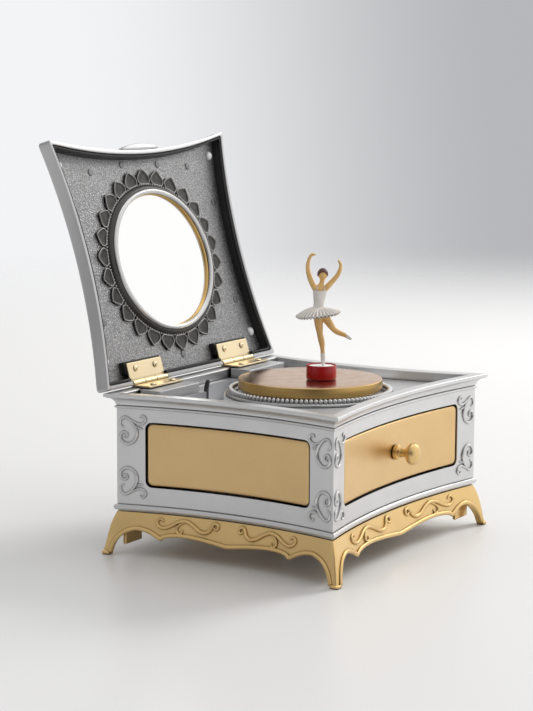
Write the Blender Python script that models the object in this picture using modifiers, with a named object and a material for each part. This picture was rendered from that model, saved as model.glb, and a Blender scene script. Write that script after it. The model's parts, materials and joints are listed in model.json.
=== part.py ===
"""Wind-up music box with a turning dancer, a hinged mirror lid and a jewel drawer.

Every dimension below is in millimetres, and geometry is created in metres by
multiplying with MM.  Places are given in the case frame: x to the right, y to the
back, z up, with the case centred on x = y = 0 and the feet on z = 0.  The case frame
hangs on an empty that is moved along Y by CASE_Y, which puts the world origin at the
bottom centre of the whole object's box.  The drawer side is the front (-Y).
"""
import math

import bmesh
import bpy
from mathutils import Matrix

MM = 0.001
GAP = 0.3                       # clearance between pieces that touch

# Case
BODY_HALF_X = 70.0
BODY_HALF_Y = 56.0
FRONT_SAG = 7.0                 # how far the front curves in at its middle
SIDE_SAG = 7.8                  # how far the left and right sides curve in
BODY_BOTTOM = 20.0
RIM_TOP = 73.8
WALL = 2.0
FOOT_FLARE = 6.0                # how far the feet reach out past the body
WEB_INNER = 56.0                # the flat webs behind the feet: their ends along x,
WEB_OUTER = 69.0
WEB_FACE = 51.7                 # their inner face along y,
WEB_THICK = 1.6
WEB_LOW = 4.5                   # and their heights
WEB_TOP = 18.0
CORNICE = 4.4
BEAD = 1.2
SCREW_INSET = 7.5               # from the body's corners to the base screws

# Drawer and side panels
DRAWER_HALF = 55.4
PANEL_HALF = 42.0
PANEL_BOTTOM = 32.0
PANEL_TOP = 60.6
PANEL_GAP = 0.6
PANEL_THICK = 2.4
DRAWER_BACK = -19.4
DRAWER_BOX_HALF = 52.0
DRAWER_BOX_TOP = 55.5
HOUSING_HALF = 54.6
HOUSING_FLOOR = 31.0

# Jewel tray
TRAY_BOTTOM = 58.0
TRAY_DECK = 69.0
POCKET_FLOOR = 60.0
BLOCK_TOP = 73.6

# Turntable
AXIS_Y = -4.5
DISC_RADIUS = 33.4
DISC_TOP = 76.8
DISC_THICK = 4.8
ROPE_RADIUS = 37.2
WELL_RADIUS = 40.2
SPINDLE_RADIUS = 2.0
DRUM_X = -1.4
DRUM_Y = -11.1
DRUM_RADIUS = 6.95
DRUM_TOP = 83.6
PLATFORM_TOP = 83.1
DANCER_TURN = -59.0             # the way the dancer faces, degrees about Z

# Lid, in its closed place relative to the hinge axis
HINGE_Y = 59.4
HINGE_Z = 75.4
LID_OPEN = 106.0
LID_HALF_X = 73.4
LID_BACK = 0.9
LID_FRONT = -115.2
LID_RIM = -1.1
LID_TOP = 6.1
LID_CROWN = 1.9                 # width of the rounding round the lid's top
LINER_FACE = 4.2
MIRROR_Y = -55.0
HINGE_X = 38.5
HINGE_LENGTH = 28.0
CASE_SCREW_Y = -7.6             # the case leaf's screws, from the hinge axis
KNUCKLE = 1.4
PIN_RADIUS = 0.45
PIN_HOLE = 0.75

# Movement
PLATE_TOP = 21.6                # top of the bottom plate
BED_BOTTOM = 24.0
BED_TOP = 25.6
BARREL_RADIUS = 11.0
BARREL_BOTTOM = 27.0
BARREL_TOP = 38.0
CYLINDER_RADIUS = 6.4
CYLINDER_Z = 33.4
CYLINDER_X0 = 13.0
FLY_X = 43.7
LEVER_X = -13.0
LEVER_Y = 44.4
LEVER_FOOT = 40.0

CURVE_STEPS = 8                 # straight pieces along each curved side

# Where the case centre stands, so that the feet in front and the tilted lid behind
# reach equally far from the origin
LEAN = math.radians(LID_OPEN - 90.0)
LID_REACH = (-LID_FRONT - LID_CROWN) * math.sin(LEAN) + LID_TOP * math.cos(LEAN)
CASE_Y = (BODY_HALF_Y + FOOT_FLARE - HINGE_Y - LID_REACH) / 2.0


# ---------------------------------------------------------------- scene and materials

def clear_scene():
    for old in list(bpy.data.objects):
        bpy.data.objects.remove(old, do_unlink=True)


def new_collection(name):
    collection = bpy.data.collections.new(name)
    bpy.context.scene.collection.children.link(collection)
    return collection


clear_scene()
PARTS = new_collection("wind_up_music_box")
CUTTERS = new_collection("cutters")

FINISHES = {                    # colour, metallic, roughness
    "silver": ((0.72, 0.72, 0.73), 0.9, 0.35),
    "gold": ((0.80, 0.58, 0.26), 1.0, 0.28),
    "satin_gold": ((0.78, 0.59, 0.32), 0.9, 0.42),
    "tray_grey": ((0.62, 0.63, 0.65), 0.4, 0.5),
    "gunmetal": ((0.16, 0.16, 0.17), 0.8, 0.45),
    "brass": ((0.83, 0.66, 0.32), 1.0, 0.25),
    "steel": ((0.60, 0.60, 0.62), 1.0, 0.35),
    "red": ((0.55, 0.01, 0.01), 0.0, 0.25),
    "white": ((0.88, 0.87, 0.85), 0.0, 0.5),
    "mirror": ((0.95, 0.95, 0.95), 1.0, 0.02),
    "black": ((0.02, 0.02, 0.02), 0.0, 0.5),
}


def material(name):
    existing = bpy.data.materials.get(name)
    if existing:
        return existing
    colour, metallic, roughness = FINISHES[name]
    made = bpy.data.materials.new(name)
    made.use_nodes = True
    shader = made.node_tree.nodes["Principled BSDF"]
    shader.inputs["Base Color"].default_value = (*colour, 1.0)
    shader.inputs["Metallic"].default_value = metallic
    shader.inputs["Roughness"].default_value = roughness
    return made


# ---------------------------------------------------------------- making pieces

def empty(name, at, parent=None, turn_x=0.0, turn_z=0.0):
    """An axis or frame that pieces hang on."""
    holder = bpy.data.objects.new(name, None)
    PARTS.objects.link(holder)
    holder.parent = parent
    holder.location = [value * MM for value in at]
    holder.rotation_euler = (math.radians(turn_x), 0.0, math.radians(turn_z))
    return holder


def add_mesh(name, mesh, finish, parent, at, turn):
    piece = bpy.data.objects.new(name, mesh)
    PARTS.objects.link(piece)
    piece.parent = parent
    piece.location = [value * MM for value in at]
    piece.rotation_euler = [math.radians(angle) for angle in turn]
    mesh.materials.clear()
    mesh.materials.append(material(finish))
    return piece


def from_bmesh(name, shape, finish, parent, at=(0, 0, 0), turn=(0, 0, 0), smooth=False):
    """Turn a bmesh made in millimetres into a named piece."""
    bmesh.ops.transform(shape, matrix=Matrix.Scale(MM, 4), verts=shape.verts)
    bmesh.ops.recalc_face_normals(shape, faces=shape.faces)
    mesh = bpy.data.meshes.new(name)
    shape.to_mesh(mesh)
    shape.free()
    if smooth:
        mesh.shade_smooth()
        mesh.set_sharp_from_angle(angle=math.radians(35))
    return add_mesh(name, mesh, finish, parent, at, turn)


def from_curve(name, curve, finish, parent, at=(0, 0, 0), turn=(0, 0, 0)):
    """Turn a curve made in metres into a closed mesh piece."""
    drawn = bpy.data.objects.new(name + "_curve", curve)
    PARTS.objects.link(drawn)
    evaluated = drawn.evaluated_get(bpy.context.evaluated_depsgraph_get())
    mesh = bpy.data.meshes.new_from_object(evaluated)
    bpy.data.objects.remove(drawn, do_unlink=True)
    shape = bmesh.new()
    shape.from_mesh(mesh)
    bmesh.ops.remove_doubles(shape, verts=shape.verts, dist=0.00001)
    bmesh.ops.recalc_face_normals(shape, faces=shape.faces)
    shape.to_mesh(mesh)
    shape.free()
    mesh.name = name
    return add_mesh(name, mesh, finish, parent, at, turn)


def box(name, low, high, finish="silver", parent=None):
    """A block between two opposite corners, in its parent's frame."""
    size = [b - a for a, b in zip(low, high)]
    centre = [(a + b) / 2.0 for a, b in zip(low, high)]
    shape = bmesh.new()
    bmesh.ops.create_cube(shape, size=1.0)
    bmesh.ops.scale(shape, vec=size, verts=shape.verts)
    return from_bmesh(name, shape, finish, parent, centre)


def rod(name, radius, start, end, axis="z", finish="steel", parent=None, sides=16):
    """A cylinder along one axis."""
    length = math.dist(start, end)
    centre = [(a + b) / 2.0 for a, b in zip(start, end)]
    turn = {"z": (0, 0, 0), "x": (0, 90, 0), "y": (-90, 0, 0)}[axis]
    shape = bmesh.new()
    bmesh.ops.create_cone(shape, cap_ends=True, segments=sides, radius1=radius,
                          radius2=radius, depth=length)
    return from_bmesh(name, shape, finish, parent, centre, turn, smooth=True)


def turned(name, profile, finish, parent, at=(0, 0, 0), turn=(0, 0, 0), steps=32, ring=False):
    """A turned piece: profile is (radius, height) running down the outer side."""
    mesh = bpy.data.meshes.new(name)
    points = [(radius * MM, 0.0, height * MM) for radius, height in profile]
    edges = [(i, i + 1) for i in range(len(points) - 1)]
    if ring:
        edges.append((len(points) - 1, 0))
    mesh.from_pydata(points, edges, [])
    piece = add_mesh(name, mesh, finish, parent, at, turn)
    screw = piece.modifiers.new("turning", "SCREW")
    screw.steps = steps
    screw.render_steps = steps
    screw.use_merge_vertices = True
    screw.merge_threshold = 0.00001
    screw.use_smooth_shade = True
    return piece


def outline(name, loops, low, high, finish, parent, at=(0, 0, 0), turn=(0, 0, 0)):
    """A flat piece from closed loops of (x, y), a later loop being a hole, between two heights."""
    curve = bpy.data.curves.new(name, "CURVE")
    curve.dimensions = "2D"
    curve.fill_mode = "BOTH"
    curve.extrude = (high - low) / 2.0 * MM
    for loop in loops:
        spline = curve.splines.new("POLY")
        spline.points.add(len(loop) - 1)
        for point, (x, y) in zip(spline.points, loop):
            point.co = (x * MM, y * MM, 0.0, 1.0)
        spline.use_cyclic_u = True
    middle = (at[0], at[1], at[2] + (high + low) / 2.0)
    if any(turn):
        shift = Matrix.Translation((0, 0, (high + low) / 2.0 * MM))
        piece = from_curve(name, curve, finish, parent, at, turn)
        piece.data.transform(shift)
        return piece
    return from_curve(name, curve, finish, parent, middle)


def wire(name, path, radius, finish, parent, at=(0, 0, 0), taper=None):
    """A round bar along a list of points, thinner at each point by taper."""
    curve = bpy.data.curves.new(name, "CURVE")
    curve.dimensions = "3D"
    curve.bevel_depth = radius * MM
    curve.bevel_resolution = 2
    curve.use_fill_caps = True
    spline = curve.splines.new("POLY")
    spline.points.add(len(path) - 1)
    for index, (point, place) in enumerate(zip(spline.points, path)):
        point.co = (*[value * MM for value in place], 1.0)
        point.radius = taper[index] if taper else 1.0
    return from_curve(name, curve, finish, parent, at)


def loft(name, rings, finish, parent, closed, at=(0, 0, 0)):
    """Skin over rings of (outline, height): closed round into a ring, or capped at both ends."""
    shape = bmesh.new()
    rows = [[shape.verts.new((x, y, height)) for x, y in points] for points, height in rings]
    count = len(rows[0])
    pairs = list(zip(rows, rows[1:]))
    if closed:
        pairs.append((rows[-1], rows[0]))
    for lower, upper in pairs:
        for i in range(count):
            j = (i + 1) % count
            shape.faces.new((lower[i], lower[j], upper[j], upper[i]))
    if not closed:
        shape.faces.new(rows[0])
        shape.faces.new(rows[-1])
        bmesh.ops.triangulate(shape, faces=[face for face in shape.faces if len(face.verts) > 4])
    return from_bmesh(name, shape, finish, parent, at)


def combine(piece, other, operation):
    """Boolean with another object, which then only serves as a tool."""
    boolean = piece.modifiers.new(operation.lower(), "BOOLEAN")
    boolean.operation = operation
    boolean.solver = "EXACT"
    boolean.object = other
    if other.name in PARTS.objects:
        PARTS.objects.unlink(other)
        CUTTERS.objects.link(other)
    other.hide_render = True
    other.display_type = "WIRE"


def cut(piece, *others):
    for other in others:
        combine(piece, other, "DIFFERENCE")


def join(piece, *others):
    for other in others:
        combine(piece, other, "UNION")


# ---------------------------------------------------------------- outlines

def arc_side(half_length, reach, sag, along):
    """How far a side that curves in stands from the centre line, at a place along it."""
    return reach - sag * (1.0 - (along / half_length) ** 2)


def plan(offset, half_x=BODY_HALF_X, half_y=BODY_HALF_Y, centre_y=0.0):
    """The case's plan: front, left and right curve in, the back is straight."""
    hx = half_x + offset
    hy = half_y + offset
    steps = [2.0 * i / CURVE_STEPS - 1.0 for i in range(CURVE_STEPS)]
    points = [(hx * t, -arc_side(hx, hy, FRONT_SAG, hx * t)) for t in steps]
    points += [(arc_side(hy, hx, SIDE_SAG, hy * t), hy * t) for t in steps]
    points += [(hx, hy)]
    points += [(-arc_side(hy, hx, SIDE_SAG, hy * t), -hy * t) for t in steps]
    return [(x, y + centre_y) for x, y in points]


def side_point(side, offset, along):
    """A point on a side of the case, at a distance along it from its middle."""
    hx = BODY_HALF_X + offset
    hy = BODY_HALF_Y + offset
    if side == "front":
        return (along, -arc_side(hx, hy, FRONT_SAG, along))
    if side == "back":
        return (along, hy)
    reach = arc_side(hy, hx, SIDE_SAG, along)
    return (reach if side == "right" else -reach, along)


def side_band(side, half, outer, inner):
    """The plan of a plate that follows one side of the case."""
    pieces = 1 if side == "back" else CURVE_STEPS
    steps = [half * (2.0 * i / pieces - 1.0) for i in range(pieces + 1)]
    return [side_point(side, outer, s) for s in steps] + \
           [side_point(side, inner, s) for s in reversed(steps)]


def oval(half_x, half_y, centre_y=0.0, steps=40, centre_x=0.0):
    angles = [2.0 * math.pi * i / steps for i in range(steps)]
    return [(centre_x + half_x * math.cos(a), centre_y + half_y * math.sin(a)) for a in angles]


def rectangle(x0, y0, x1, y1):
    return [(x0, y0), (x1, y0), (x1, y1), (x0, y1)]


# ---------------------------------------------------------------- base and case

def scallop(half):
    """The lower edge of the skirt on one side: foot, arch, cusp and wave, then mirrored."""
    foot = [(1.5, 0.0), (1.1, 1.6), (0.4, 3.8), (-0.9, 6.4), (-3.0, 9.0), (-5.7, 11.0), (-9.8, 12.4),
            (-13.8, 12.2), (-17.4, 11.2), (-20.4, 9.8)]
    cusp = half - 22.5
    points = [(half + s, z) for s, z in foot]
    for i in range(7):
        t = i / 6.0
        points.append((cusp * (1.0 - t), 9.0 + 1.5 * (1.0 - math.cos(2.0 * math.pi * t))))
    mirrored = [(-s, z) for s, z in reversed(points[:-1])]
    return [(points[0][0], -1.0)] + points + mirrored + [(-points[0][0], -1.0)]


def make_base(case):
    outer = [(0.3, 19.7), (1.0, 18.2), (2.0, 15.6), (2.9, 12.6), (3.6, 9.6), (4.2, 6.6), (4.8, 3.8),
             (5.4, 1.7), (FOOT_FLARE, 0.7), (FOOT_FLARE - 0.3, 0.0)]
    inner = [(1.8, 0.0), (1.4, 3.0), (0.9, 7.5), (0.0, 11.5), (-1.4, 15.0), (-2.4, 17.2), (-9.0, 17.2),
             (-9.0, 19.7)]
    rings = [(plan(offset), z) for offset, z in outer + inner]
    base = loft("base_stand", rings, "gold", case, closed=True)
    for side, turn, half, reach in (("front", 0, BODY_HALF_X, BODY_HALF_Y - FRONT_SAG),
                                    ("right", 90, BODY_HALF_Y, BODY_HALF_X - SIDE_SAG),
                                    ("back", 180, BODY_HALF_X, BODY_HALF_Y),
                                    ("left", 270, BODY_HALF_Y, BODY_HALF_X - SIDE_SAG)):
        cut(base, outline("skirt_cut_" + side, [scallop(half)], reach - 3.0, reach + 20.0, "gold",
                          case, turn=(90, 0, turn)))
    # A flat web behind each foot stiffens it
    for sx in (-1, 1):
        for sy in (-1, 1):
            x0, x1 = sorted((sx * WEB_INNER, sx * WEB_OUTER))
            y0, y1 = sorted((sy * WEB_FACE, sy * (WEB_FACE + WEB_THICK)))
            join(base, box("web_%d_%d" % (sx, sy), (x0, y0, WEB_LOW), (x1, y1, WEB_TOP), "gold", case))

    corners = [(sx * (BODY_HALF_X - SCREW_INSET), sy * (BODY_HALF_Y - SCREW_INSET))
               for sx, sy in ((-1, -1), (1, -1), (1, 1), (-1, 1))]
    holes = [oval(1.6, 1.6, y, 12, x) for x, y in corners]
    key_hole = oval(3.0, 3.0, AXIS_Y, 16)
    outline("bottom_plate", [plan(-WALL - GAP), key_hole] + holes, BODY_BOTTOM, PLATE_TOP, "steel", case)
    for index, (x, y) in enumerate(corners, start=1):
        cut(base, rod("base_hole_%d" % index, 1.6, (x, y, 16), (x, y, 23), parent=case, sides=12))
        turned("base_screw_%d" % index, [(0, 22.4), (1.2, 22.4), (1.2, 16.9), (2.8, 16.9),
                                         (2.6, 15.8), (1.6, 15.3), (0, 15.3)],
               "steel", case, at=(x, y, 0), steps=12)


def make_case(case):
    outer = [(0.4, 20.0), (BEAD, 20.6), (BEAD, 22.6), (0.3, 23.3), (0.0, 23.6), (0.0, 67.2),
             (0.8, 67.7), (0.8, 68.6), (1.3, 69.6), (2.4, 70.7), (3.7, 71.5), (CORNICE, 72.2),
             (CORNICE, 73.3), (3.9, RIM_TOP)]
    inner = [(-1.5, RIM_TOP), (-WALL, 73.3), (-WALL, BODY_BOTTOM)]
    rings = [(plan(offset), z) for offset, z in outer + inner]
    body = loft("case_body", rings, "silver", case, closed=True)
    low, high = PANEL_BOTTOM - PANEL_GAP, PANEL_TOP + PANEL_GAP
    drawer_slot = DRAWER_HALF + PANEL_GAP
    side_slot = PANEL_HALF + PANEL_GAP
    cut(body, box("front_back_opening", (-drawer_slot, -80, low), (drawer_slot, 80, high), parent=case))
    cut(body, box("side_opening", (-90, -side_slot, low), (90, side_slot, high), parent=case))

    for name, side, half in (("side_panel_left", "left", PANEL_HALF),
                             ("side_panel_right", "right", PANEL_HALF),
                             ("back_panel", "back", DRAWER_HALF)):
        panel = outline(name, [side_band(side, half, -0.1, -3.0)], PANEL_BOTTOM, PANEL_TOP,
                        "satin_gold", case)
        flange = outline(name + "_flange", [side_band(side, half + 2.5, -WALL - GAP - 0.1, -3.6)],
                         PANEL_BOTTOM - 2.5, PANEL_TOP + 2.5, "satin_gold", case)
        join(panel, flange)


# ---------------------------------------------------------------- drawer

def make_drawer(case):
    face_y = side_point("front", 0.0, 0.0)[1]
    middle = (PANEL_BOTTOM + PANEL_TOP) / 2.0
    front = outline("drawer_front", [side_band("front", DRAWER_HALF, -0.1, -PANEL_THICK)],
                    PANEL_BOTTOM, PANEL_TOP, "satin_gold", case)
    stud_hole = rod("stud_hole", 1.6, (0, face_y - 2, middle), (0, face_y + 7, middle), axis="y",
                    parent=case, sides=12)
    cut(front, stud_hole)

    tray_front = -PANEL_THICK - GAP
    wall = 1.4
    edge = side_band("front", DRAWER_BOX_HALF, tray_front, tray_front)[:CURVE_STEPS + 1]
    shape = edge + [(DRAWER_BOX_HALF, DRAWER_BACK), (-DRAWER_BOX_HALF, DRAWER_BACK)]
    tray = outline("drawer_tray", [shape], PANEL_BOTTOM + 1.0, DRAWER_BOX_TOP, "tray_grey", case)
    inner_half = DRAWER_BOX_HALF - wall
    edge = side_band("front", inner_half, tray_front - wall, tray_front - wall)[:CURVE_STEPS + 1]
    hollow = edge + [(inner_half, DRAWER_BACK - wall), (-inner_half, DRAWER_BACK - wall)]
    cut(tray, outline("drawer_hollow", [hollow], PANEL_BOTTOM + 2.6, DRAWER_BOX_TOP + 5.0,
                      "tray_grey", case))
    cut(tray, stud_hole)

    turned("drawer_knob", [(0, 12.8), (1.7, 12.6), (3.4, 11.9), (4.6, 10.7), (5.05, 9.3), (4.6, 7.9),
                           (3.4, 6.7), (2.4, 6.2), (2.0, 5.4), (2.0, 3.0), (3.4, 2.2), (3.4, GAP),
                           (1.2, GAP), (1.2, -6.8), (0, -6.8)],
           "gold", case, at=(0, face_y + 0.1, middle), turn=(90, 0, 0), steps=16)
    nut_y = side_point("front", tray_front - wall - GAP, 0.0)[1]
    nut = rod("knob_nut", 2.8, (0, nut_y, middle), (0, nut_y + 1.6, middle), axis="y", parent=case,
              sides=6, finish="steel")
    cut(nut, rod("nut_hole", 1.5, (0, nut_y - 1, middle), (0, nut_y + 3, middle), axis="y",
                 parent=case, sides=12))

    sheet = 1.4
    housing = box("drawer_housing", (-HOUSING_HALF, -45.4, HOUSING_FLOOR),
                  (HOUSING_HALF, DRAWER_BACK + 2.2, TRAY_BOTTOM - GAP), "steel", case)
    cut(housing, box("housing_hollow", (-HOUSING_HALF + sheet, -50, HOUSING_FLOOR + sheet),
                     (HOUSING_HALF - sheet, DRAWER_BACK + 2.2 - sheet, TRAY_BOTTOM + 2), parent=case))


# ---------------------------------------------------------------- jewel tray and turntable

def make_tray(case):
    rings = [(plan(-4.2), TRAY_BOTTOM), (plan(-4.2), 66.4), (plan(-WALL - GAP), 67.0),
             (plan(-WALL - GAP), TRAY_DECK)]
    tray = loft("jewel_tray", rings, "tray_grey", case, closed=False)
    for side in (-1, 1):
        x0, x1 = sorted((side * (HINGE_X - 16.0), side * (HINGE_X + 17.0)))
        join(tray, box("hinge_block_%d" % (side + 2), (x0, 42.0, TRAY_DECK - 1.6),
                       (x1, 53.2, BLOCK_TOP), parent=case))
    pockets = (("left", -56.4, -14.0, -20.0, 16.0), ("left_rear", -57.2, 17.8, -20.0, 40.4),
               ("rear", -20.4, 20.0, 20.4, 50.2), ("right_rear", 20.0, 17.8, 57.2, 40.4),
               ("right", 20.0, -14.0, 56.4, 16.0))
    for name, x0, y0, x1, y1 in pockets:
        pocket = box("pocket_" + name, (x0, y0, POCKET_FLOOR), (x1, y1, BLOCK_TOP + 6), parent=case)
        well = rod("well_" + name, WELL_RADIUS, (0, AXIS_Y, 50), (0, AXIS_Y, 90), parent=case,
                   sides=40)
        cut(pocket, well)
        cut(tray, pocket)
    cut(tray, rod("under_turntable", WELL_RADIUS - 2.0, (0, AXIS_Y, 50), (0, AXIS_Y, 67.0),
                  parent=case, sides=40))
    cut(tray, rod("bush_hole", 4.1, (0, AXIS_Y, 60), (0, AXIS_Y, 75), parent=case))
    cut(tray, box("lever_slot", (LEVER_X - 2.4, LEVER_Y - 1.8, 50), (LEVER_X + 2.4, LEVER_Y + 2.0, 65),
                  parent=case))
    hole_y = HINGE_Y + CASE_SCREW_Y
    for index, x in enumerate(screw_places(), start=1):
        cut(tray, rod("case_screw_hole_%d" % index, 1.0, (x, hole_y, 71), (x, hole_y, 80), parent=case,
                      sides=8))

    turned("rope_ring", [(ROPE_RADIUS, 72.7), (38.3, 71.9), (38.6, 70.4), (39.2, 70.4),
                         (39.2, TRAY_DECK + GAP), (35.6, TRAY_DECK + GAP), (35.6, 71.0),
                         (36.1, 72.0)],
           "silver", case, at=(0, AXIS_Y, 0), steps=40, ring=True)
    turned("spindle_bush", [(2.4, 70.3), (6.5, 70.3), (6.5, TRAY_DECK + GAP),
                            (3.8, TRAY_DECK + GAP), (3.8, 65.5), (2.4, 65.5)],
           "brass", case, at=(0, AXIS_Y, 0), steps=16, ring=True)

    make_stop_lever(case)


def make_stop_lever(case):
    """A finger that stands up in the rear pocket; its arm reaches over the governor."""
    finger = [(-1.2, 2.4), (1.2, 2.4), (1.2, 24.0), (1.0, 29.0), (2.0, 32.0), (1.2, 33.2), (-0.6, 31.0),
              (-1.2, 27.0)]
    lever = outline("stop_lever", [finger], -0.8, 0.8, "black", case, at=(LEVER_X, LEVER_Y, LEVER_FOOT),
                    turn=(90, 0, 0))
    arm_z = LEVER_FOOT + 3.8
    join(lever, wire("lever_arm", [(LEVER_X, LEVER_Y, arm_z), (FLY_X - 1.0, AXIS_Y + 3.0, arm_z),
                                   (FLY_X + 1.0, AXIS_Y, arm_z)], 0.8, "black", case))


def make_turntable(case):
    turning = empty("turntable_axis", (0, AXIS_Y, 0), case)
    underside = DISC_TOP - DISC_THICK
    disc = turned("turntable_disc", [(0, DISC_TOP), (DISC_RADIUS - 0.4, DISC_TOP),
                                     (DISC_RADIUS, DISC_TOP - 0.4), (DISC_RADIUS, underside + 0.3),
                                     (DISC_RADIUS - 0.3, underside), (5.0, underside),
                                     (5.0, underside - 1.2), (SPINDLE_RADIUS + GAP, underside - 1.2),
                                     (SPINDLE_RADIUS + GAP, underside + 2.0), (0, underside + 2.0)],
                  "satin_gold", turning, steps=48)
    drum_y = DRUM_Y - AXIS_Y
    cut(disc, rod("magnet_pocket", 4.3, (DRUM_X, drum_y, 70), (DRUM_X, drum_y, 75.9),
                  parent=turning, sides=20))
    rod("disc_magnet", 4.0, (DRUM_X, drum_y, 73.0), (DRUM_X, drum_y, 75.6), finish="steel",
        parent=turning, sides=20)
    rod("drive_spindle", SPINDLE_RADIUS, (0, 0, BARREL_TOP + GAP), (0, 0, underside + 1.7),
        finish="steel", parent=turning, sides=16)

    dancer = empty("dancer_axis", (DRUM_X, drum_y, 0), turning, turn_z=DANCER_TURN)
    bottom = DISC_TOP + GAP
    turned("dancer_drum", [(0, 81.6), (6.5, 81.6), (6.5, DRUM_TOP - 0.2), (DRUM_RADIUS - 0.3, DRUM_TOP),
                           (DRUM_RADIUS, DRUM_TOP - 0.3), (DRUM_RADIUS, bottom), (0, bottom)],
           "red", dancer, steps=32)
    rod("drum_platform", 6.2, (0, 0, 81.9), (0, 0, PLATFORM_TOP), finish="white", parent=dancer,
        sides=32)
    make_dancer(dancer)


def make_dancer(dancer):
    """The figure: x to her left as seen from in front, standing on one pointed foot."""
    floor = PLATFORM_TOP + GAP
    at = (0, 0, floor)
    figure = wire("dancer_figure", [(0.8, 0, 0), (0.8, 0, 1.6), (0.4, 0, 6.6), (0.2, 0, 9.8),
                                    (-0.8, 0, 13.8), (-1.4, 0, 19.0), (-1.9, 0, 25.2)],
                  1.0, "white", dancer, at, taper=[0.75, 1.15, 0.95, 1.35, 1.2, 1.8, 2.2])
    raised = wire("raised_leg", [(-0.6, 0.3, 24.4), (2.6, 0.8, 21.0), (6.2, 1.6, 16.0),
                                 (9.0, 1.6, 14.6), (11.2, 1.2, 13.8), (13.4, 1.0, 12.2)],
                  1.0, "white", dancer, at, taper=[1.6, 1.9, 1.35, 1.2, 0.85, 0.6])
    arms = [wire("arm_%d" % index, path, 1.0, "white", dancer, at, taper=taper)
            for index, (path, taper) in enumerate((
                ([(-2.6, 0, 36.0), (-4.2, 0, 38.0), (-6.2, 0, 42.6), (-6.6, 0, 46.8), (-5.4, 0, 50.4),
                  (-3.2, 0, 51.2)], [1.2, 1.15, 0.95, 0.8, 0.65, 0.6]),
                ([(0.6, 0, 35.6), (2.2, 0, 36.8), (5.4, 0, 39.8), (8.0, 0, 43.6), (8.8, 0, 47.2),
                  (7.8, 0, 48.6)], [1.2, 1.15, 0.95, 0.8, 0.65, 0.6])))]
    torso = turned("torso", [(0, 40.4), (1.05, 40.2), (1.1, 38.6), (2.6, 37.2), (3.1, 35.6), (3.1, 33.0),
                             (2.2, 28.6), (3.2, 26.6), (7.0, 24.6), (9.8, 23.2), (10.2, 22.4),
                             (9.6, 22.0), (4.0, 22.9), (0, 23.2)],
                   "white", dancer, at=(-1.3, 0, floor), turn=(0, 3.5, 0), steps=20)
    head = bmesh.new()
    bmesh.ops.create_uvsphere(head, u_segments=10, v_segments=7, radius=2.5)
    bmesh.ops.scale(head, vec=(0.95, 1.0, 1.12), verts=head.verts)
    join(figure, raised, torso, from_bmesh("head", head, "white", dancer, (0.2, 0, floor + 42.4)), *arms)


# ---------------------------------------------------------------- lid and hinges

def lid_plan(offset):
    half_y = (LID_BACK - LID_FRONT) / 2.0
    return plan(offset, LID_HALF_X, half_y, (LID_BACK + LID_FRONT) / 2.0)


def petals(count, valley, tip):
    """An oval outline with pointed petals: valley and tip are (half x, half y)."""
    points = []
    for i in range(count):
        for share, reach in ((0.0, 0.0), (0.22, 0.62), (0.5, 1.0), (0.78, 0.62)):
            angle = 2.0 * math.pi * (i + share) / count
            half_x = valley[0] + (tip[0] - valley[0]) * reach
            half_y = valley[1] + (tip[1] - valley[1]) * reach
            points.append((half_x * math.cos(angle), MIRROR_Y + half_y * math.sin(angle)))
    return points


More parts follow.
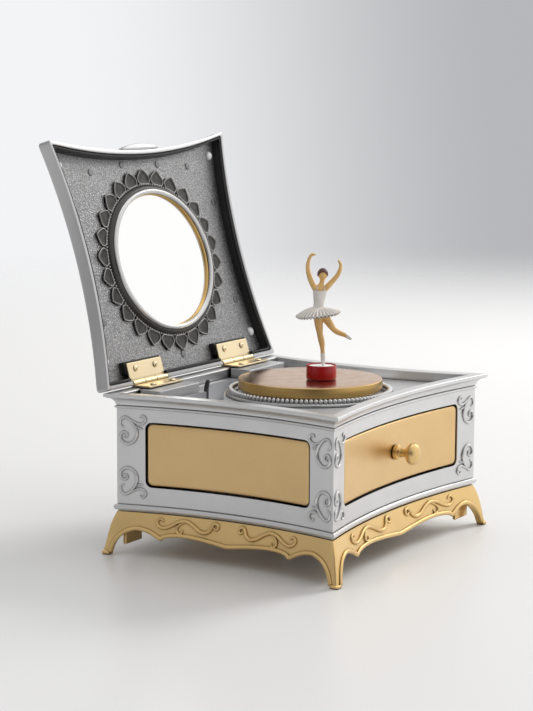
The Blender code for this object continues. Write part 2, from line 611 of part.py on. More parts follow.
def make_lid(case):
    lid = empty("lid_axis", (0, HINGE_Y, HINGE_Z), case, turn_x=-LID_OPEN)
    ceiling = LID_TOP - 1.0
    rings = [(lid_plan(-WALL), ceiling), (lid_plan(-WALL), LID_RIM), (lid_plan(0), LID_RIM),
             (lid_plan(0), LID_TOP - 1.8), (lid_plan(-0.6), LID_TOP - 0.6), (lid_plan(-LID_CROWN), LID_TOP)]
    shell = loft("lid_shell", rings, "silver", lid, closed=False)
    out = WALL + GAP
    rings = [(lid_plan(-out), ceiling - GAP), (lid_plan(-out), LID_RIM + 0.3),
             (lid_plan(-out - 1.2), LID_RIM + 0.3), (lid_plan(-out - 1.2), LINER_FACE)]
    liner = loft("lid_liner", rings, "gunmetal", lid, closed=False)

    for side in (-1, 1):
        low, high = hinge_span(side)
        notch = box("hinge_notch_%d" % (side + 2), (low - 0.6, -3.9, -3), (high + 0.6, 4, 2.0),
                    parent=lid)
        cut(shell, notch)
        cut(liner, notch)
        join(liner, box("lid_hinge_pad_%d" % (side + 2), (low - 0.6, -10.6, 1.6),
                        (high + 0.6, -4.6, LINER_FACE + 0.2), parent=lid))
    for index, x in enumerate(screw_places(), start=1):
        cut(liner, rod("lid_screw_hole_%d" % index, 1.0, (x, -6.6, -2), (x, -6.6, 3.6), parent=lid,
                       sides=8))

    face = LINER_FACE - GAP
    outline("mirror_wreath", [petals(26, (44.6, 38.2), (49.6, 43.4)), oval(43.6, 37.0, MIRROR_Y)],
            face - 0.7, face, "gunmetal", lid)
    outline("mirror_frame", [oval(43.2, 36.6, MIRROR_Y), oval(38.2, 33.6, MIRROR_Y)],
            face - 2.1, face, "gunmetal", lid)
    outline("mirror_bezel", [oval(37.9, 33.3, MIRROR_Y), oval(35.2, 31.4, MIRROR_Y)],
            face - 1.7, face - 0.9, "gold", lid)
    outline("mirror_glass", [oval(37.4, 32.9, MIRROR_Y)], face - 0.6, face, "mirror", lid)
    stud_places = ((-63.5, -104.0), (63.5, -104.0), (-63.5, -12.5), (63.5, -12.5))
    for index, (x, y) in enumerate(stud_places, start=1):
        turned("liner_stud_%d" % index, [(0, 1.3), (1.5, 1.1), (2.2, 0.5), (2.2, 0), (0, 0)],
               "steel", lid, at=(x, y, face), turn=(180, 0, 0), steps=12)

    tab_y = LID_FRONT + FRONT_SAG
    steps = [math.pi * (1.0 + i / 12.0) for i in range(13)]
    tab = [(15.0 * math.cos(a), tab_y - 2.5 * GAP + 2.8 * math.sin(a)) for a in steps]
    tab += [(x, tab_y - GAP - FRONT_SAG * (x / LID_HALF_X) ** 2) for x in (9.0, 3.0, -3.0, -9.0)]
    outline("lift_tab", [tab], 0.4, LID_TOP - 1.8, "silver", lid)
    make_hinges(case, lid)


def hinge_span(side):
    centre = side * HINGE_X
    return centre - HINGE_LENGTH / 2.0, centre + HINGE_LENGTH / 2.0


def screw_places():
    return [side * HINGE_X + shift for side in (-1, 1) for shift in (-8.0, 8.0)]


def knuckle_section(flip):
    """A knuckle with its tongue, seen along the pin, as (y, z)."""
    arc = [math.radians(90 - 30 * i) for i in range(0, 10)]
    points = [(-2.6, KNUCKLE - 0.05)]
    points += [(KNUCKLE * math.cos(a), KNUCKLE * math.sin(a)) for a in arc if
               not (math.cos(a) < 0 and math.sin(a) > 0.35)]
    points += [(-1.31, 0.5), (-2.6, 0.5)]
    return [(y, z * flip) for y, z in points]


def knuckle(name, flip, low, high, parent):
    hole = [(PIN_HOLE * math.cos(a), PIN_HOLE * math.sin(a))
            for a in [math.pi * i / 4.0 for i in range(8)]]
    piece = outline(name, [knuckle_section(flip), hole], low, high, "brass", parent, turn=(90, 0, 90))
    return piece


def make_hinges(case, lid):
    fixed = empty("hinge_axis", (0, HINGE_Y, HINGE_Z), case)
    for side, word in ((-1, "left"), (1, "right")):
        low, high = hinge_span(side)
        third = HINGE_LENGTH / 3.0
        ends = (low + third, high - third)
        for name, flip, parent, spans, screw_y in (
                ("hinge_lid_leaf_", 1, lid, (ends,), -6.6),
                ("hinge_case_leaf_", -1, fixed, ((low, ends[0] - GAP), (ends[1] + GAP, high)), CASE_SCREW_Y)):
            z0, z1 = sorted((0.5 * flip, (KNUCKLE - 0.05) * flip))
            reach = -9.6 if flip == 1 else -9.9
            leaf = box(name + word, (low, reach, z0), (high, -2.1, z1), "brass", parent)
            for index, (a, b) in enumerate(spans):
                join(leaf, knuckle("knuckle_%s%s_%d" % (name, word, index), flip, a, b, parent))
            for index, shift in enumerate((-8.0, 8.0), start=1):
                x = side * HINGE_X + shift
                cut(leaf, rod("leaf_hole_%s%s_%d" % (name, word, index), 1.0, (x, screw_y, -4),
                              (x, screw_y, 4), parent=parent, sides=8))
                hinge_screw(name.replace("hinge_", "").replace("leaf_", "screw_") + word, index,
                            flip, x, screw_y, parent)
        rod("hinge_pin_" + word, PIN_RADIUS, (low - 0.4, 0, 0), (high + 0.4, 0, 0), axis="x",
            finish="brass", parent=fixed, sides=12)


def hinge_screw(name, index, flip, x, y, parent):
    """A domed screw: its head lies on the leaf's open face and its shank goes into the block."""
    head = [(0, 0.55), (0.9, 0.45), (1.5, 0.15), (1.5, 0.0), (0.65, 0.0), (0.65, -2.6), (0, -2.6)]
    turn = (0, 0, 0) if flip == -1 else (180, 0, 0)
    height = -0.5 + GAP if flip == -1 else 0.5 - GAP
    turned("%s_%d" % (name, index), head, "brass", parent, at=(x, y, height), turn=turn, steps=8)


# ---------------------------------------------------------------- musical movement

def make_movement(case):
    bed = box("movement_bedplate", (-15.0, AXIS_Y - 13.0, BED_BOTTOM), (49.0, AXIS_Y + 26.0, BED_TOP),
              "brass", case)
    for index, (x, y) in enumerate(((-12.0, -14.5), (46.0, -14.5), (17.0, 18.0))):
        join(bed, rod("bed_foot_%d" % index, 2.4, (x, y, PLATE_TOP + GAP), (x, y, BED_BOTTOM + 0.4),
                      parent=case, sides=10))
    cut(bed, rod("arbor_hole", 2.2, (0, AXIS_Y, 20), (0, AXIS_Y, 30), parent=case, sides=16))

    turning = bpy.data.objects["turntable_axis"]
    teeth = BARREL_RADIUS + 0.8
    barrel = turned("spring_barrel", [(0, BARREL_TOP), (BARREL_RADIUS - 1.0, BARREL_TOP),
                                      (BARREL_RADIUS, BARREL_TOP - 0.8), (BARREL_RADIUS, 29.4),
                                      (teeth, 29.4), (teeth, BARREL_BOTTOM),
                                      (BARREL_RADIUS - 1.2, BARREL_BOTTOM),
                                      (BARREL_RADIUS - 1.2, BARREL_TOP - 1.4), (0, BARREL_TOP - 1.4)],
                    "brass", turning, steps=28)
    coil_steps, turns = 48, 3.0
    spiral = []
    for i in range(coil_steps + 1):
        angle = 2.0 * math.pi * turns * i / coil_steps
        spiral.append((2.4 + 5.6 * i / coil_steps, angle))
    inner = [(r * math.cos(a), r * math.sin(a)) for r, a in spiral]
    outer = [((r + 0.45) * math.cos(a), (r + 0.45) * math.sin(a)) for r, a in reversed(spiral)]
    outline("mainspring", [inner + outer], BARREL_BOTTOM + 1.2, BARREL_TOP - 2.2, "steel", turning)

    key = turned("winding_key", [(0, 33.0), (1.6, 33.0), (1.6, 17.6), (2.4, 17.2), (2.4, 13.4), (0, 13.4)],
                 "steel", case, at=(0, AXIS_Y, 0), steps=12)
    wings = oval(4.6, 3.6, 0.0, 16)
    for index, side in enumerate((-1, 1)):
        wing = outline("key_wing_%d" % index, [[(x + side * 5.4, z) for x, z in wings]], -0.7, 0.7,
                       "steel", case, at=(0, AXIS_Y, 12.0), turn=(90, 0, 0))
        wing_hole = oval(2.2, 1.6, 0.0, 10)
        cut(wing, outline("key_wing_hole_%d" % index, [[(x + side * 6.2, z) for x, z in wing_hole]],
                          -2, 2, "steel", case, at=(0, AXIS_Y, 12.0), turn=(90, 0, 0)))
        join(key, wing)
    join(key, box("key_root", (-2.2, AXIS_Y - 1.1, 9.6), (2.2, AXIS_Y + 1.1, 14.0), parent=case))

    # Cylinder along x, driven from the barrel's rim; its far gear turns the governor
    cylinder = empty("cylinder_axis", (0, AXIS_Y, CYLINDER_Z), case)
    drum = turned("pin_cylinder", [(0, 25.0), (1.2, 25.0), (1.2, 22.6), (5.0, 22.6), (5.0, 21.2),
                                   (CYLINDER_RADIUS, 21.2), (CYLINDER_RADIUS, 2.6), (3.6, 2.6),
                                   (3.6, 0.5), (1.2, 0.5), (1.2, -0.8), (0, -0.8)],
                  "brass", cylinder, at=(CYLINDER_X0, 0, 0), turn=(0, 90, 0), steps=20)
    for index in range(12):
        angle = math.radians(137.5 * index)
        middle = CYLINDER_RADIUS + 0.1
        x = CYLINDER_X0 + 4.0 + 1.3 * index
        pin = bmesh.new()
        bmesh.ops.create_cone(pin, cap_ends=True, segments=5, radius1=0.35, radius2=0.25, depth=1.6)
        turn = (math.degrees(angle) - 90.0, 0, 0)
        join(drum, from_bmesh("melody_pin_%d" % index, pin, "brass", cylinder,
                              (x, middle * math.cos(angle), middle * math.sin(angle)), turn))

    comb_y = AXIS_Y + CYLINDER_RADIUS + 2.0
    teeth = 12
    pitch = 1.5
    comb = [(34.4, comb_y + 12.0), (15.4, comb_y + 12.0), (15.4, comb_y + 7.0)]
    for index in range(teeth):
        x = 15.8 + pitch * index
        root = comb_y + 6.6 - 0.25 * index
        comb += [(x, root), (x, comb_y), (x + 1.0, comb_y), (x + 1.0, root)]
    comb += [(34.4, comb_y + 3.2)]
    steel_comb = outline("tone_comb", [comb], CYLINDER_Z - 0.5, CYLINDER_Z + 0.5, "steel", case)
    top = CYLINDER_Z + 0.5
    for index, x in enumerate((19.5, 30.5), start=1):
        cut(steel_comb, rod("comb_hole_%d" % index, 1.5, (x, comb_y + 9.5, 30), (x, comb_y + 9.5, 36),
                            parent=case, sides=10))
        turned("comb_screw_%d" % index, [(0, top + 2.0), (1.9, top + 1.8), (2.2, top + 1.1),
                                         (2.2, top + GAP), (1.2, top + GAP), (1.2, 28.0), (0, 28.0)],
               "steel", case, at=(x, comb_y + 9.5, 0), steps=12)
    rest = box("comb_rest", (15.6, comb_y + 7.6, BED_TOP - 0.4),
               (34.2, comb_y + 11.8, top - 1.3), parent=case)
    for index, x in enumerate((19.5, 30.5)):
        cut(rest, rod("rest_hole_%d" % index, 1.5, (x, comb_y + 9.5, 27), (x, comb_y + 9.5, 36),
                      parent=case, sides=10))
    join(bed, rest)

    # Brackets that carry the cylinder's two arbors
    for index, (x0, x1) in enumerate(((12.5, 13.2), (36.4, 37.6))):
        bracket = box("arbor_bracket_%d" % index, (x0, AXIS_Y - 3.0, BED_TOP - 0.4),
                      (x1, AXIS_Y + 3.0, CYLINDER_Z + 3.0), parent=case)
        cut(bracket, rod("arbor_bore_%d" % index, 1.6, (x0 - 1, AXIS_Y, CYLINDER_Z),
                         (x1 + 1, AXIS_Y, CYLINDER_Z), axis="x", parent=case, sides=12))
        join(bed, bracket)

    # Governor: an upright fly in a small frame at the far end
    frame = box("governor_frame", (39.4, AXIS_Y - 6.0, BED_TOP + GAP), (48.0, AXIS_Y + 6.0, 40.0),
                "brass", case)
    cut(frame, box("governor_space", (38.0, AXIS_Y - 4.6, BED_TOP + 1.8),
                   (50.0, AXIS_Y + 4.6, 38.6), parent=case))
    cut(frame, rod("fly_bore", 1.0, (FLY_X, AXIS_Y, 24), (FLY_X, AXIS_Y, 42), parent=case,
                   sides=12))
    governor = empty("governor_axis", (FLY_X, AXIS_Y, 0), case)
    fly = turned("governor_fly", [(0, 39.4), (0.7, 39.4), (0.7, 33.0), (1.3, 32.6), (1.3, 28.6),
                                  (0.7, 28.2), (0.7, 26.4), (0, 26.4)],
                 "steel", governor, steps=12)
    join(fly, box("fly_vane", (-3.6, -0.3, 33.6), (3.6, 0.3, 37.8), parent=governor))


def main():
    case = empty("case_frame", (0, CASE_Y, 0))
    make_base(case)
    make_case(case)
    make_drawer(case)
    make_tray(case)
    make_turntable(case)
    make_lid(case)
    make_movement(case)
    bpy.context.view_layer.update()


main()
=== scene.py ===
"""Looks of the wind-up music box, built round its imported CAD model.

Lengths are millimetres.  The case frame has x to the right, y to the back and z up, with
the case centred on x = y = 0 and the feet on z = 0.  The lid frame is the closed lid's,
measured from the hinge axis, and the dancer frame stands on the drum's axis with x to the
dancer's side.  Each piece is made in one of those frames and placed by its matrix.
"""

import json
import math

import bmesh
import bpy
from mathutils import Matrix, Vector, noise


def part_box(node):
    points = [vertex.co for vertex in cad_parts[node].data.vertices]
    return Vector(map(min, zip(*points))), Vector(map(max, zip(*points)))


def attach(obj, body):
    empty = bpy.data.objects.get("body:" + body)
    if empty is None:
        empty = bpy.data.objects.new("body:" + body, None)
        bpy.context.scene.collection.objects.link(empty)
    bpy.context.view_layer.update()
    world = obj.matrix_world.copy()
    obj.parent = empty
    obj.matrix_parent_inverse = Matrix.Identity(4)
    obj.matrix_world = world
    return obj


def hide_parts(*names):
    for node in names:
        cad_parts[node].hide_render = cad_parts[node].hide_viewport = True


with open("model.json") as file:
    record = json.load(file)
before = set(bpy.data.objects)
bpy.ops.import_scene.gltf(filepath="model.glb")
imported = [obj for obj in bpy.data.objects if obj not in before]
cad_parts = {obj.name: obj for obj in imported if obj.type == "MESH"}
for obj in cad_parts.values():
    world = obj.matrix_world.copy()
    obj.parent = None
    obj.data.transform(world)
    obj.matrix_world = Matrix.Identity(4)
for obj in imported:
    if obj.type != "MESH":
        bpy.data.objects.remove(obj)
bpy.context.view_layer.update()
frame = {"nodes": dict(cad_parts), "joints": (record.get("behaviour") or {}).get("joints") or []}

MM = 0.001


# ---------------------------------------------------------------- sizes from the frame

def node_box(name):
    """The lowest and highest corner of a CAD node, in millimetres."""
    low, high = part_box(name)
    return low / MM, high / MM


def joint_place(name):
    """Where a joint's axis stands, in millimetres."""
    for joint in frame["joints"]:
        if joint["name"] == name:
            return Vector(joint["pos_m"]) / MM
    raise ValueError("no joint named " + name)


FOOT_FLARE = 6.0
CORNICE = 4.4
WEB_INNER = 56.0                # the flat webs behind the feet: their ends along x,
WEB_OUTER = 69.0
WEB_FACE = 51.7                 # their inner face along y,
WEB_THICK = 1.6
WEB_LOW = 4.5                   # and their heights
WEB_TOP = 17.0
FRONT_SAG = 7.0                 # how far the front curves in at its middle
SIDE_SAG = 7.8                  # how far the left and right sides curve in
WALL = 2.0

stand_low, stand_high = node_box("base_stand")
CASE_Y = (stand_low.y + stand_high.y) / 2.0
HALF_X = stand_high.x - FOOT_FLARE
HALF_Y = (stand_high.y - stand_low.y) / 2.0 - FOOT_FLARE
BODY_BOTTOM = node_box("case_body")[0].z
RIM_TOP = node_box("case_body")[1].z
PANEL_BOTTOM = node_box("drawer_front")[0].z
PANEL_TOP = node_box("drawer_front")[1].z
DRAWER_HALF = node_box("drawer_front")[1].x
PANEL_HALF = 42.0
PANEL_GAP = 0.6
OPENING_CORNER = 2.6
PANEL_CORNER = 2.8
PANEL_ROLL = 1.5                # radius of a panel's rolled edge
PANEL_SUNK = 0.1                # how far a panel's face lies below the side

AXIS_Y = joint_place("turntable_spin").y - CASE_Y
DISC_TOP = node_box("turntable_disc")[1].z
DISC_RADIUS = node_box("turntable_disc")[1].x
DISC_THICK = 4.8
WELL_RADIUS = 40.2
ROPE_RADIUS = 37.0
TRAY_DECK = 69.0
POCKET_FLOOR = 60.0
TRAY_BOTTOM = node_box("jewel_tray")[0].z
BLOCK_TOP = node_box("jewel_tray")[1].z
drum_low, drum_high = node_box("dancer_drum")
DRUM_RADIUS = (drum_high.x - drum_low.x) / 2.0
DRUM_X = (drum_low.x + drum_high.x) / 2.0
DRUM_Y = (drum_low.y + drum_high.y) / 2.0 - CASE_Y
PLATFORM_TOP = node_box("drum_platform")[1].z
PLATFORM_FOOT = 81.9
DRUM_WELL = (6.5, 81.6)         # radius and floor of the hollow that holds the platform
DANCER_TURN = -59.0             # the way the dancer faces, degrees about Z

HINGE = joint_place("lid_hinge")
LID_OPEN = 106.0
LID_HALF_X = node_box("lid_shell")[1].x
LID_BACK = 0.9
LID_FRONT = -115.2
LID_RIM = -1.1
LID_TOP = 6.1
LINER_FACE = 4.2
MIRROR_Y = -55.0
HINGE_X = 38.5
HINGE_LENGTH = 28.0

CASE = Matrix.Translation((0.0, CASE_Y * MM, 0.0))
LID = Matrix.Translation(HINGE * MM) @ Matrix.Rotation(math.radians(-LID_OPEN), 4, "X")
HINGED = Matrix.Translation(HINGE * MM)
DRUM = CASE @ Matrix.Translation((DRUM_X * MM, DRUM_Y * MM, 0.0))
DANCER = DRUM @ Matrix.Rotation(math.radians(DANCER_TURN), 4, "Z")

# Half the length of each side, and how far its middle stands from the case's axis
SIDE_HALF = {"front": HALF_X, "right": HALF_Y, "back": HALF_X, "left": HALF_Y}
SIDE_REACH = {"front": HALF_Y - FRONT_SAG, "right": HALF_X - SIDE_SAG, "back": HALF_Y,
              "left": HALF_X - SIDE_SAG}
SIDE_TURN = {"front": 0.0, "right": 90.0, "back": 180.0, "left": 270.0}
FINE = 40                       # straight pieces along each curved side


# ---------------------------------------------------------------- materials

NOISE_SPAN = (0.3, 0.7)         # where most of a noise texture's values lie
UNSTRETCHED = (1.0, 1.0, 1.0)


def new_material(name, colour, metallic, roughness):
    """A material, its node tree and its Principled shader."""
    made = bpy.data.materials.new(name)
    made.use_nodes = True
    nodes = made.node_tree.nodes
    shader = nodes["Principled BSDF"]
    shader.inputs["Base Color"].default_value = (*colour, 1.0)
    shader.inputs["Metallic"].default_value = metallic
    shader.inputs["Roughness"].default_value = roughness
    return made, made.node_tree, shader


def texture_space(tree, stretch):
    """Object coordinates, stretched to draw a grain out along one direction."""
    place = tree.nodes.new("ShaderNodeTexCoord")
    mapping = tree.nodes.new("ShaderNodeMapping")
    mapping.inputs["Scale"].default_value = stretch
    tree.links.new(place.outputs["Object"], mapping.inputs["Vector"])
    return mapping.outputs["Vector"]


def noise_at(tree, space, scale, detail=4.0):
    """A noise texture's value; scale is its cells per metre."""
    made = tree.nodes.new("ShaderNodeTexNoise")
    made.inputs["Scale"].default_value = scale
    made.inputs["Detail"].default_value = detail
    tree.links.new(space, made.inputs["Vector"])
    return made.outputs["Fac"]


def mapped(tree, value, before, after, smooth=False):
    """A value moved from one (low, high) range to another."""
    made = tree.nodes.new("ShaderNodeMapRange")
    if smooth:
        made.interpolation_type = "SMOOTHSTEP"
    for label, number in zip(("From Min", "From Max", "To Min", "To Max"), (*before, *after)):
        made.inputs[label].default_value = number
    tree.links.new(value, made.inputs["Value"])
    return made.outputs["Result"]


def uneven(tree, noise_value, shader, roughness, give):
    """Let a noise vary a shader's roughness by give each way."""
    tree.links.new(mapped(tree, noise_value, NOISE_SPAN, (roughness - give, roughness + give)),
                   shader.inputs["Roughness"])


def two_tones(tree, value, first, second):
    """Two colours mixed by a noise value."""
    made = tree.nodes.new("ShaderNodeValToRGB")
    made.color_ramp.elements[0].position = 0.35
    made.color_ramp.elements[1].position = 0.65
    made.color_ramp.elements[0].color = (*first, 1.0)
    made.color_ramp.elements[1].color = (*second, 1.0)
    tree.links.new(value, made.inputs["Fac"])
    return made.outputs["Color"]


def mixed(tree, how, first, second):
    """Two colours blended in full."""
    blend = tree.nodes.new("ShaderNodeMix")
    blend.data_type = "RGBA"
    blend.blend_type = how
    blend.inputs["Factor"].default_value = 1.0
    tree.links.new(first, blend.inputs["A"])
    tree.links.new(second, blend.inputs["B"])
    return blend.outputs["Result"]


def painted_corner_shade(tree, colour, reach, dark):
    """A colour darkened by painted shade in corners and beside raised shapes."""
    corners = tree.nodes.new("ShaderNodeAmbientOcclusion")
    corners.samples = 8
    corners.inputs["Distance"].default_value = reach * MM
    tone = mapped(tree, corners.outputs["AO"], (0.35, 0.9), (dark, 1.0))
    return mixed(tree, "MULTIPLY", colour, tone)


def bumped(tree, shader, height, strength, depth):
    """Tilt a shader's surface by a height texture; depth is in millimetres."""
    made = tree.nodes.new("ShaderNodeBump")
    made.inputs["Strength"].default_value = strength
    made.inputs["Distance"].default_value = depth * MM
    tree.links.new(height, made.inputs["Height"])
    tree.links.new(made.outputs["Normal"], shader.inputs["Normal"])


def finish(name, colour, metallic, roughness, tone=0.06, mottle=60.0, grain=900.0,
           stretch=UNSTRETCHED, rough_spread=0.05, bump=0.12, painted_shade_reach=0.0, painted_shade_tone=0.4):
    """A lacquered, plated or moulded surface: slight mottling, uneven gloss and a fine grain.

    The last two arguments paint shade: how far, in millimetres, a corner darkens the surface beside it, and
    how dark it gets there."""
    made, tree, shader = new_material(name, colour, metallic, roughness)
    space = texture_space(tree, stretch)
    darker = [value * (1.0 - tone) for value in colour]
    lighter = [min(1.0, value * (1.0 + tone)) for value in colour]
    wide = noise_at(tree, space, mottle)
    fine = noise_at(tree, space, grain, 2.0)
    surface = two_tones(tree, wide, darker, lighter)
    # Painted shade: darken the colour near corners and raised shapes
    if painted_shade_reach:
        surface = painted_corner_shade(tree, surface, painted_shade_reach, painted_shade_tone)
    tree.links.new(surface, shader.inputs["Base Color"])
    uneven(tree, fine, shader, roughness, rough_spread)
    bumped(tree, shader, fine, bump, 0.05)
    return made


def pebbled(name, dark, light, metallic, roughness, cell, strength):
    """Cast metal with a fine pebbled grain; the darker valleys between the grains are painted shade."""
    made, tree, shader = new_material(name, light, metallic, roughness)
    space = texture_space(tree, UNSTRETCHED)
    cells = tree.nodes.new("ShaderNodeTexVoronoi")
    cells.inputs["Scale"].default_value = 1.0 / (cell * MM)
    tree.links.new(space, cells.inputs["Vector"])
    hills = mapped(tree, cells.outputs["Distance"], (0.1, 0.75), (1.0, 0.0))
    # Painted shade: the valleys of the grain take the dark colour
    tree.links.new(two_tones(tree, hills, dark, light), shader.inputs["Base Color"])
    uneven(tree, noise_at(tree, space, 400.0), shader, roughness, 0.06)
    bumped(tree, shader, hills, strength, 0.25)
    return made


def turned_metal(name, colour, roughness, centre):
    """Metal brushed in circles round an upright axis."""
    made, tree, shader = new_material(name, colour, 1.0, roughness)
    place = tree.nodes.new("ShaderNodeTexCoord")
    shift = tree.nodes.new("ShaderNodeMapping")
    shift.inputs["Location"].default_value = [-value for value in centre]
    tree.links.new(place.outputs["Object"], shift.inputs["Vector"])
    rings = tree.nodes.new("ShaderNodeTexWave")
    rings.wave_type = "RINGS"
    rings.rings_direction = "Z"
    for label, number in (("Scale", 420.0), ("Distortion", 2.0), ("Detail", 3.0), ("Detail Scale", 4.0)):
        rings.inputs[label].default_value = number
    tree.links.new(shift.outputs["Vector"], rings.inputs["Vector"])
    darker = [value * 0.93 for value in colour]
    tree.links.new(two_tones(tree, rings.outputs["Fac"], darker, colour), shader.inputs["Base Color"])
    uneven(tree, noise_at(tree, shift.outputs["Vector"], 150.0), shader, roughness, 0.05)
    bumped(tree, shader, rings.outputs["Fac"], 0.08, 0.02)
    return made


# The darkening beside corners and raised shapes in SILVER, GOLD, PANEL_GOLD, BRASS, TRAY and DRESS is
# painted shade.
SILVER = finish("satin_silver", (0.69, 0.69, 0.692), 1.0, 0.32, tone=0.02, rough_spread=0.03,
                bump=0.02, painted_shade_reach=1.8, painted_shade_tone=0.3)
LID_SILVER = finish("lid_silver", (0.50, 0.50, 0.505), 1.0, 0.33, tone=0.02, rough_spread=0.03, bump=0.02)
RIM_SILVER = finish("polished_silver", (0.56, 0.56, 0.56), 1.0, 0.31, tone=0.02, rough_spread=0.02,
                    bump=0.02)
GOLD = finish("polished_gold", (0.80, 0.56, 0.25), 1.0, 0.32, tone=0.03, rough_spread=0.03, bump=0.015,
              painted_shade_reach=1.8, painted_shade_tone=0.3)
PANEL_GOLD = finish("satin_gold", (0.77, 0.54, 0.265), 1.0, 0.37, tone=0.02, bump=0.03, painted_shade_reach=1.2,
                    painted_shade_tone=0.2)
BRUSHED_GOLD = finish("brushed_gold_edge", (0.60, 0.39, 0.14), 1.0, 0.32, tone=0.08,
                      rough_spread=0.03, stretch=(1.0, 1.0, 14.0), bump=0.08)
COPPER = turned_metal("brushed_copper", (0.55, 0.335, 0.19), 0.22,
                      (0.0, (AXIS_Y + CASE_Y) * MM, DISC_TOP * MM))
BRASS = finish("brass", (0.86, 0.72, 0.47), 1.0, 0.32, tone=0.04, rough_spread=0.02, bump=0.03,
               painted_shade_reach=1.5, painted_shade_tone=0.3)
STEEL = finish("steel", (0.58, 0.58, 0.60), 1.0, 0.34, tone=0.06, stretch=(1.0, 6.0, 1.0))
TRAY = finish("tray_grey", (0.54, 0.545, 0.56), 0.6, 0.38, tone=0.03, bump=0.08, painted_shade_reach=3.0)
TRAY_WHITE = finish("tray_white", (0.86, 0.87, 0.88), 0.1, 0.42, tone=0.02, bump=0.06)
DARK = finish("dark_lid_wall", (0.022, 0.022, 0.023), 0.2, 0.5, tone=0.15, bump=0.1)
# The liner's darker tone in the valleys of its grain is painted shade.
LINER = pebbled("pebbled_liner", (0.46, 0.46, 0.465), (0.80, 0.80, 0.81), 0.9, 0.38, 0.75, 0.5)
MARK = finish("ejector_mark", (0.20, 0.20, 0.205), 0.9, 0.4, tone=0.1, bump=0.05)
GUNMETAL = finish("gunmetal", (0.06, 0.058, 0.055), 0.9, 0.34, tone=0.12, bump=0.05)
PETAL = finish("petal_hollow", (0.05, 0.048, 0.045), 0.7, 0.42, tone=0.35, mottle=300.0, bump=0.2)
PETAL_EDGE = finish("petal_edge", (0.30, 0.295, 0.29), 0.95, 0.34, tone=0.08, bump=0.05)
BEZEL_GOLD = finish("bezel_gold", (0.55, 0.36, 0.13), 1.0, 0.32, tone=0.05, rough_spread=0.03, bump=0.03)
MIRROR = finish("mirror_glass", (0.95, 0.96, 0.96), 1.0, 0.03, tone=0.004, rough_spread=0.01,
                bump=0.0)
RED = finish("red_lacquer", (0.42, 0.001, 0.003), 0.0, 0.28, tone=0.04, bump=0.01)
WHITE = finish("white_paint", (0.88, 0.86, 0.83), 0.0, 0.45, tone=0.02, bump=0.06)
SKIN = finish("figure_skin", (0.84, 0.53, 0.20), 0.0, 0.36, tone=0.05, mottle=350.0, bump=0.04)
DRESS = finish("figure_dress", (0.86, 0.82, 0.77), 0.0, 0.5, tone=0.05, mottle=500.0, bump=0.1,
               painted_shade_reach=1.2, painted_shade_tone=0.45)
HAIR = finish("figure_hair", (0.085, 0.035, 0.025), 0.0, 0.4, tone=0.3, mottle=900.0,
              stretch=(1.0, 1.0, 0.25), bump=0.4)
LIPS = finish("figure_lips", (0.45, 0.09, 0.06), 0.0, 0.4, tone=0.05)
EYES = finish("figure_eyes", (0.035, 0.02, 0.015), 0.0, 0.2, tone=0.1)
BLACK = finish("black_plastic", (0.02, 0.02, 0.022), 0.0, 0.35, tone=0.1, bump=0.1)
LINING = finish("drawer_lining", (0.10, 0.10, 0.105), 0.0, 0.9, tone=0.2, grain=2500.0, bump=0.6)


# ---------------------------------------------------------------- making pieces

def linked(name, data):
    """An object of the scene."""
    made = bpy.data.objects.new(name, data)
    bpy.context.scene.collection.objects.link(made)
    return made


def tool(name, shape, place=CASE):
    """Turn a bmesh in millimetres into an object; on its own it only serves to cut pieces."""
    bmesh.ops.transform(shape, matrix=place @ Matrix.Scale(MM, 4), verts=shape.verts)
    bmesh.ops.recalc_face_normals(shape, faces=shape.faces)
    mesh = bpy.data.meshes.new(name)
    shape.to_mesh(mesh)
    shape.free()
    return linked(name, mesh)


def smoothed(made, crease):
    """Shade a piece smooth, but for edges sharper than crease degrees."""
    made.data.shade_smooth()
    made.data.set_sharp_from_angle(angle=math.radians(crease))


def piece(name, shape, material, body, place=CASE, crease=32.0, others=()):
    """Turn a bmesh in millimetres into a shown piece that moves with a body."""
    made = tool(name, shape, place)
    for used in (material, *others):
        made.data.materials.append(used)
    smoothed(made, crease)
    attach(made, body)
    return made


def evaluated(made):
    """An object's mesh with its modifiers or bevels applied."""
    return bpy.data.meshes.new_from_object(made.evaluated_get(bpy.context.evaluated_depsgraph_get()))


def bake(made):
    """Apply a piece's modifiers."""
    mesh = evaluated(made)
    made.modifiers.clear()
    made.data = mesh


def cut(made, *tools, crease=32.0):
    """Cut tools out of a piece and throw them away."""
    for other in tools:
        boolean = made.modifiers.new("cut", "BOOLEAN")
        boolean.operation = "DIFFERENCE"
        boolean.solver = "EXACT"
        boolean.object = other
    bake(made)
    for other in tools:
        bpy.data.objects.remove(other, do_unlink=True)
    smoothed(made, crease)


def arc(start, end, steps):
    """Evenly spaced angles in radians, from one in degrees to another."""
    return [math.radians(start + (end - start) * i / steps) for i in range(steps + 1)]


def around(steps):
    """The angles of a full turn, in radians."""
    return [2.0 * math.pi * i / steps for i in range(steps)]


def skin(shape, rows, closed_along=False, closed_across=True, capped=False):
    """Faces between rows of points; rows are closed loops unless closed_across is False.

    The last row joins the first if closed_along; if capped, each of the two gets a face."""
    made = [[shape.verts.new(point) for point in row] for row in rows]
    pairs = list(zip(made, made[1:]))
    if closed_along:
        pairs.append((made[-1], made[0]))
    count = len(made[0])
    for lower, upper in pairs:
        for i in range(count if closed_across else count - 1):
            j = (i + 1) % count
            shape.faces.new((lower[i], lower[j], upper[j], upper[i]))
    if capped:
        shape.faces.new(made[0])
        shape.faces.new(made[-1])


def loft(rings, capped=False):
    """Skin over rings of (outline, height); not capped, the last ring joins the first."""
    shape = bmesh.new()
    rows = [[(x, y, height) for x, y in points] for points, height in rings]
    skin(shape, rows, closed_along=not capped, capped=capped)
    return shape


def prism(points, low, high):
    """A straight block over an outline."""
    return loft([(points, low), (points, high)], capped=True)


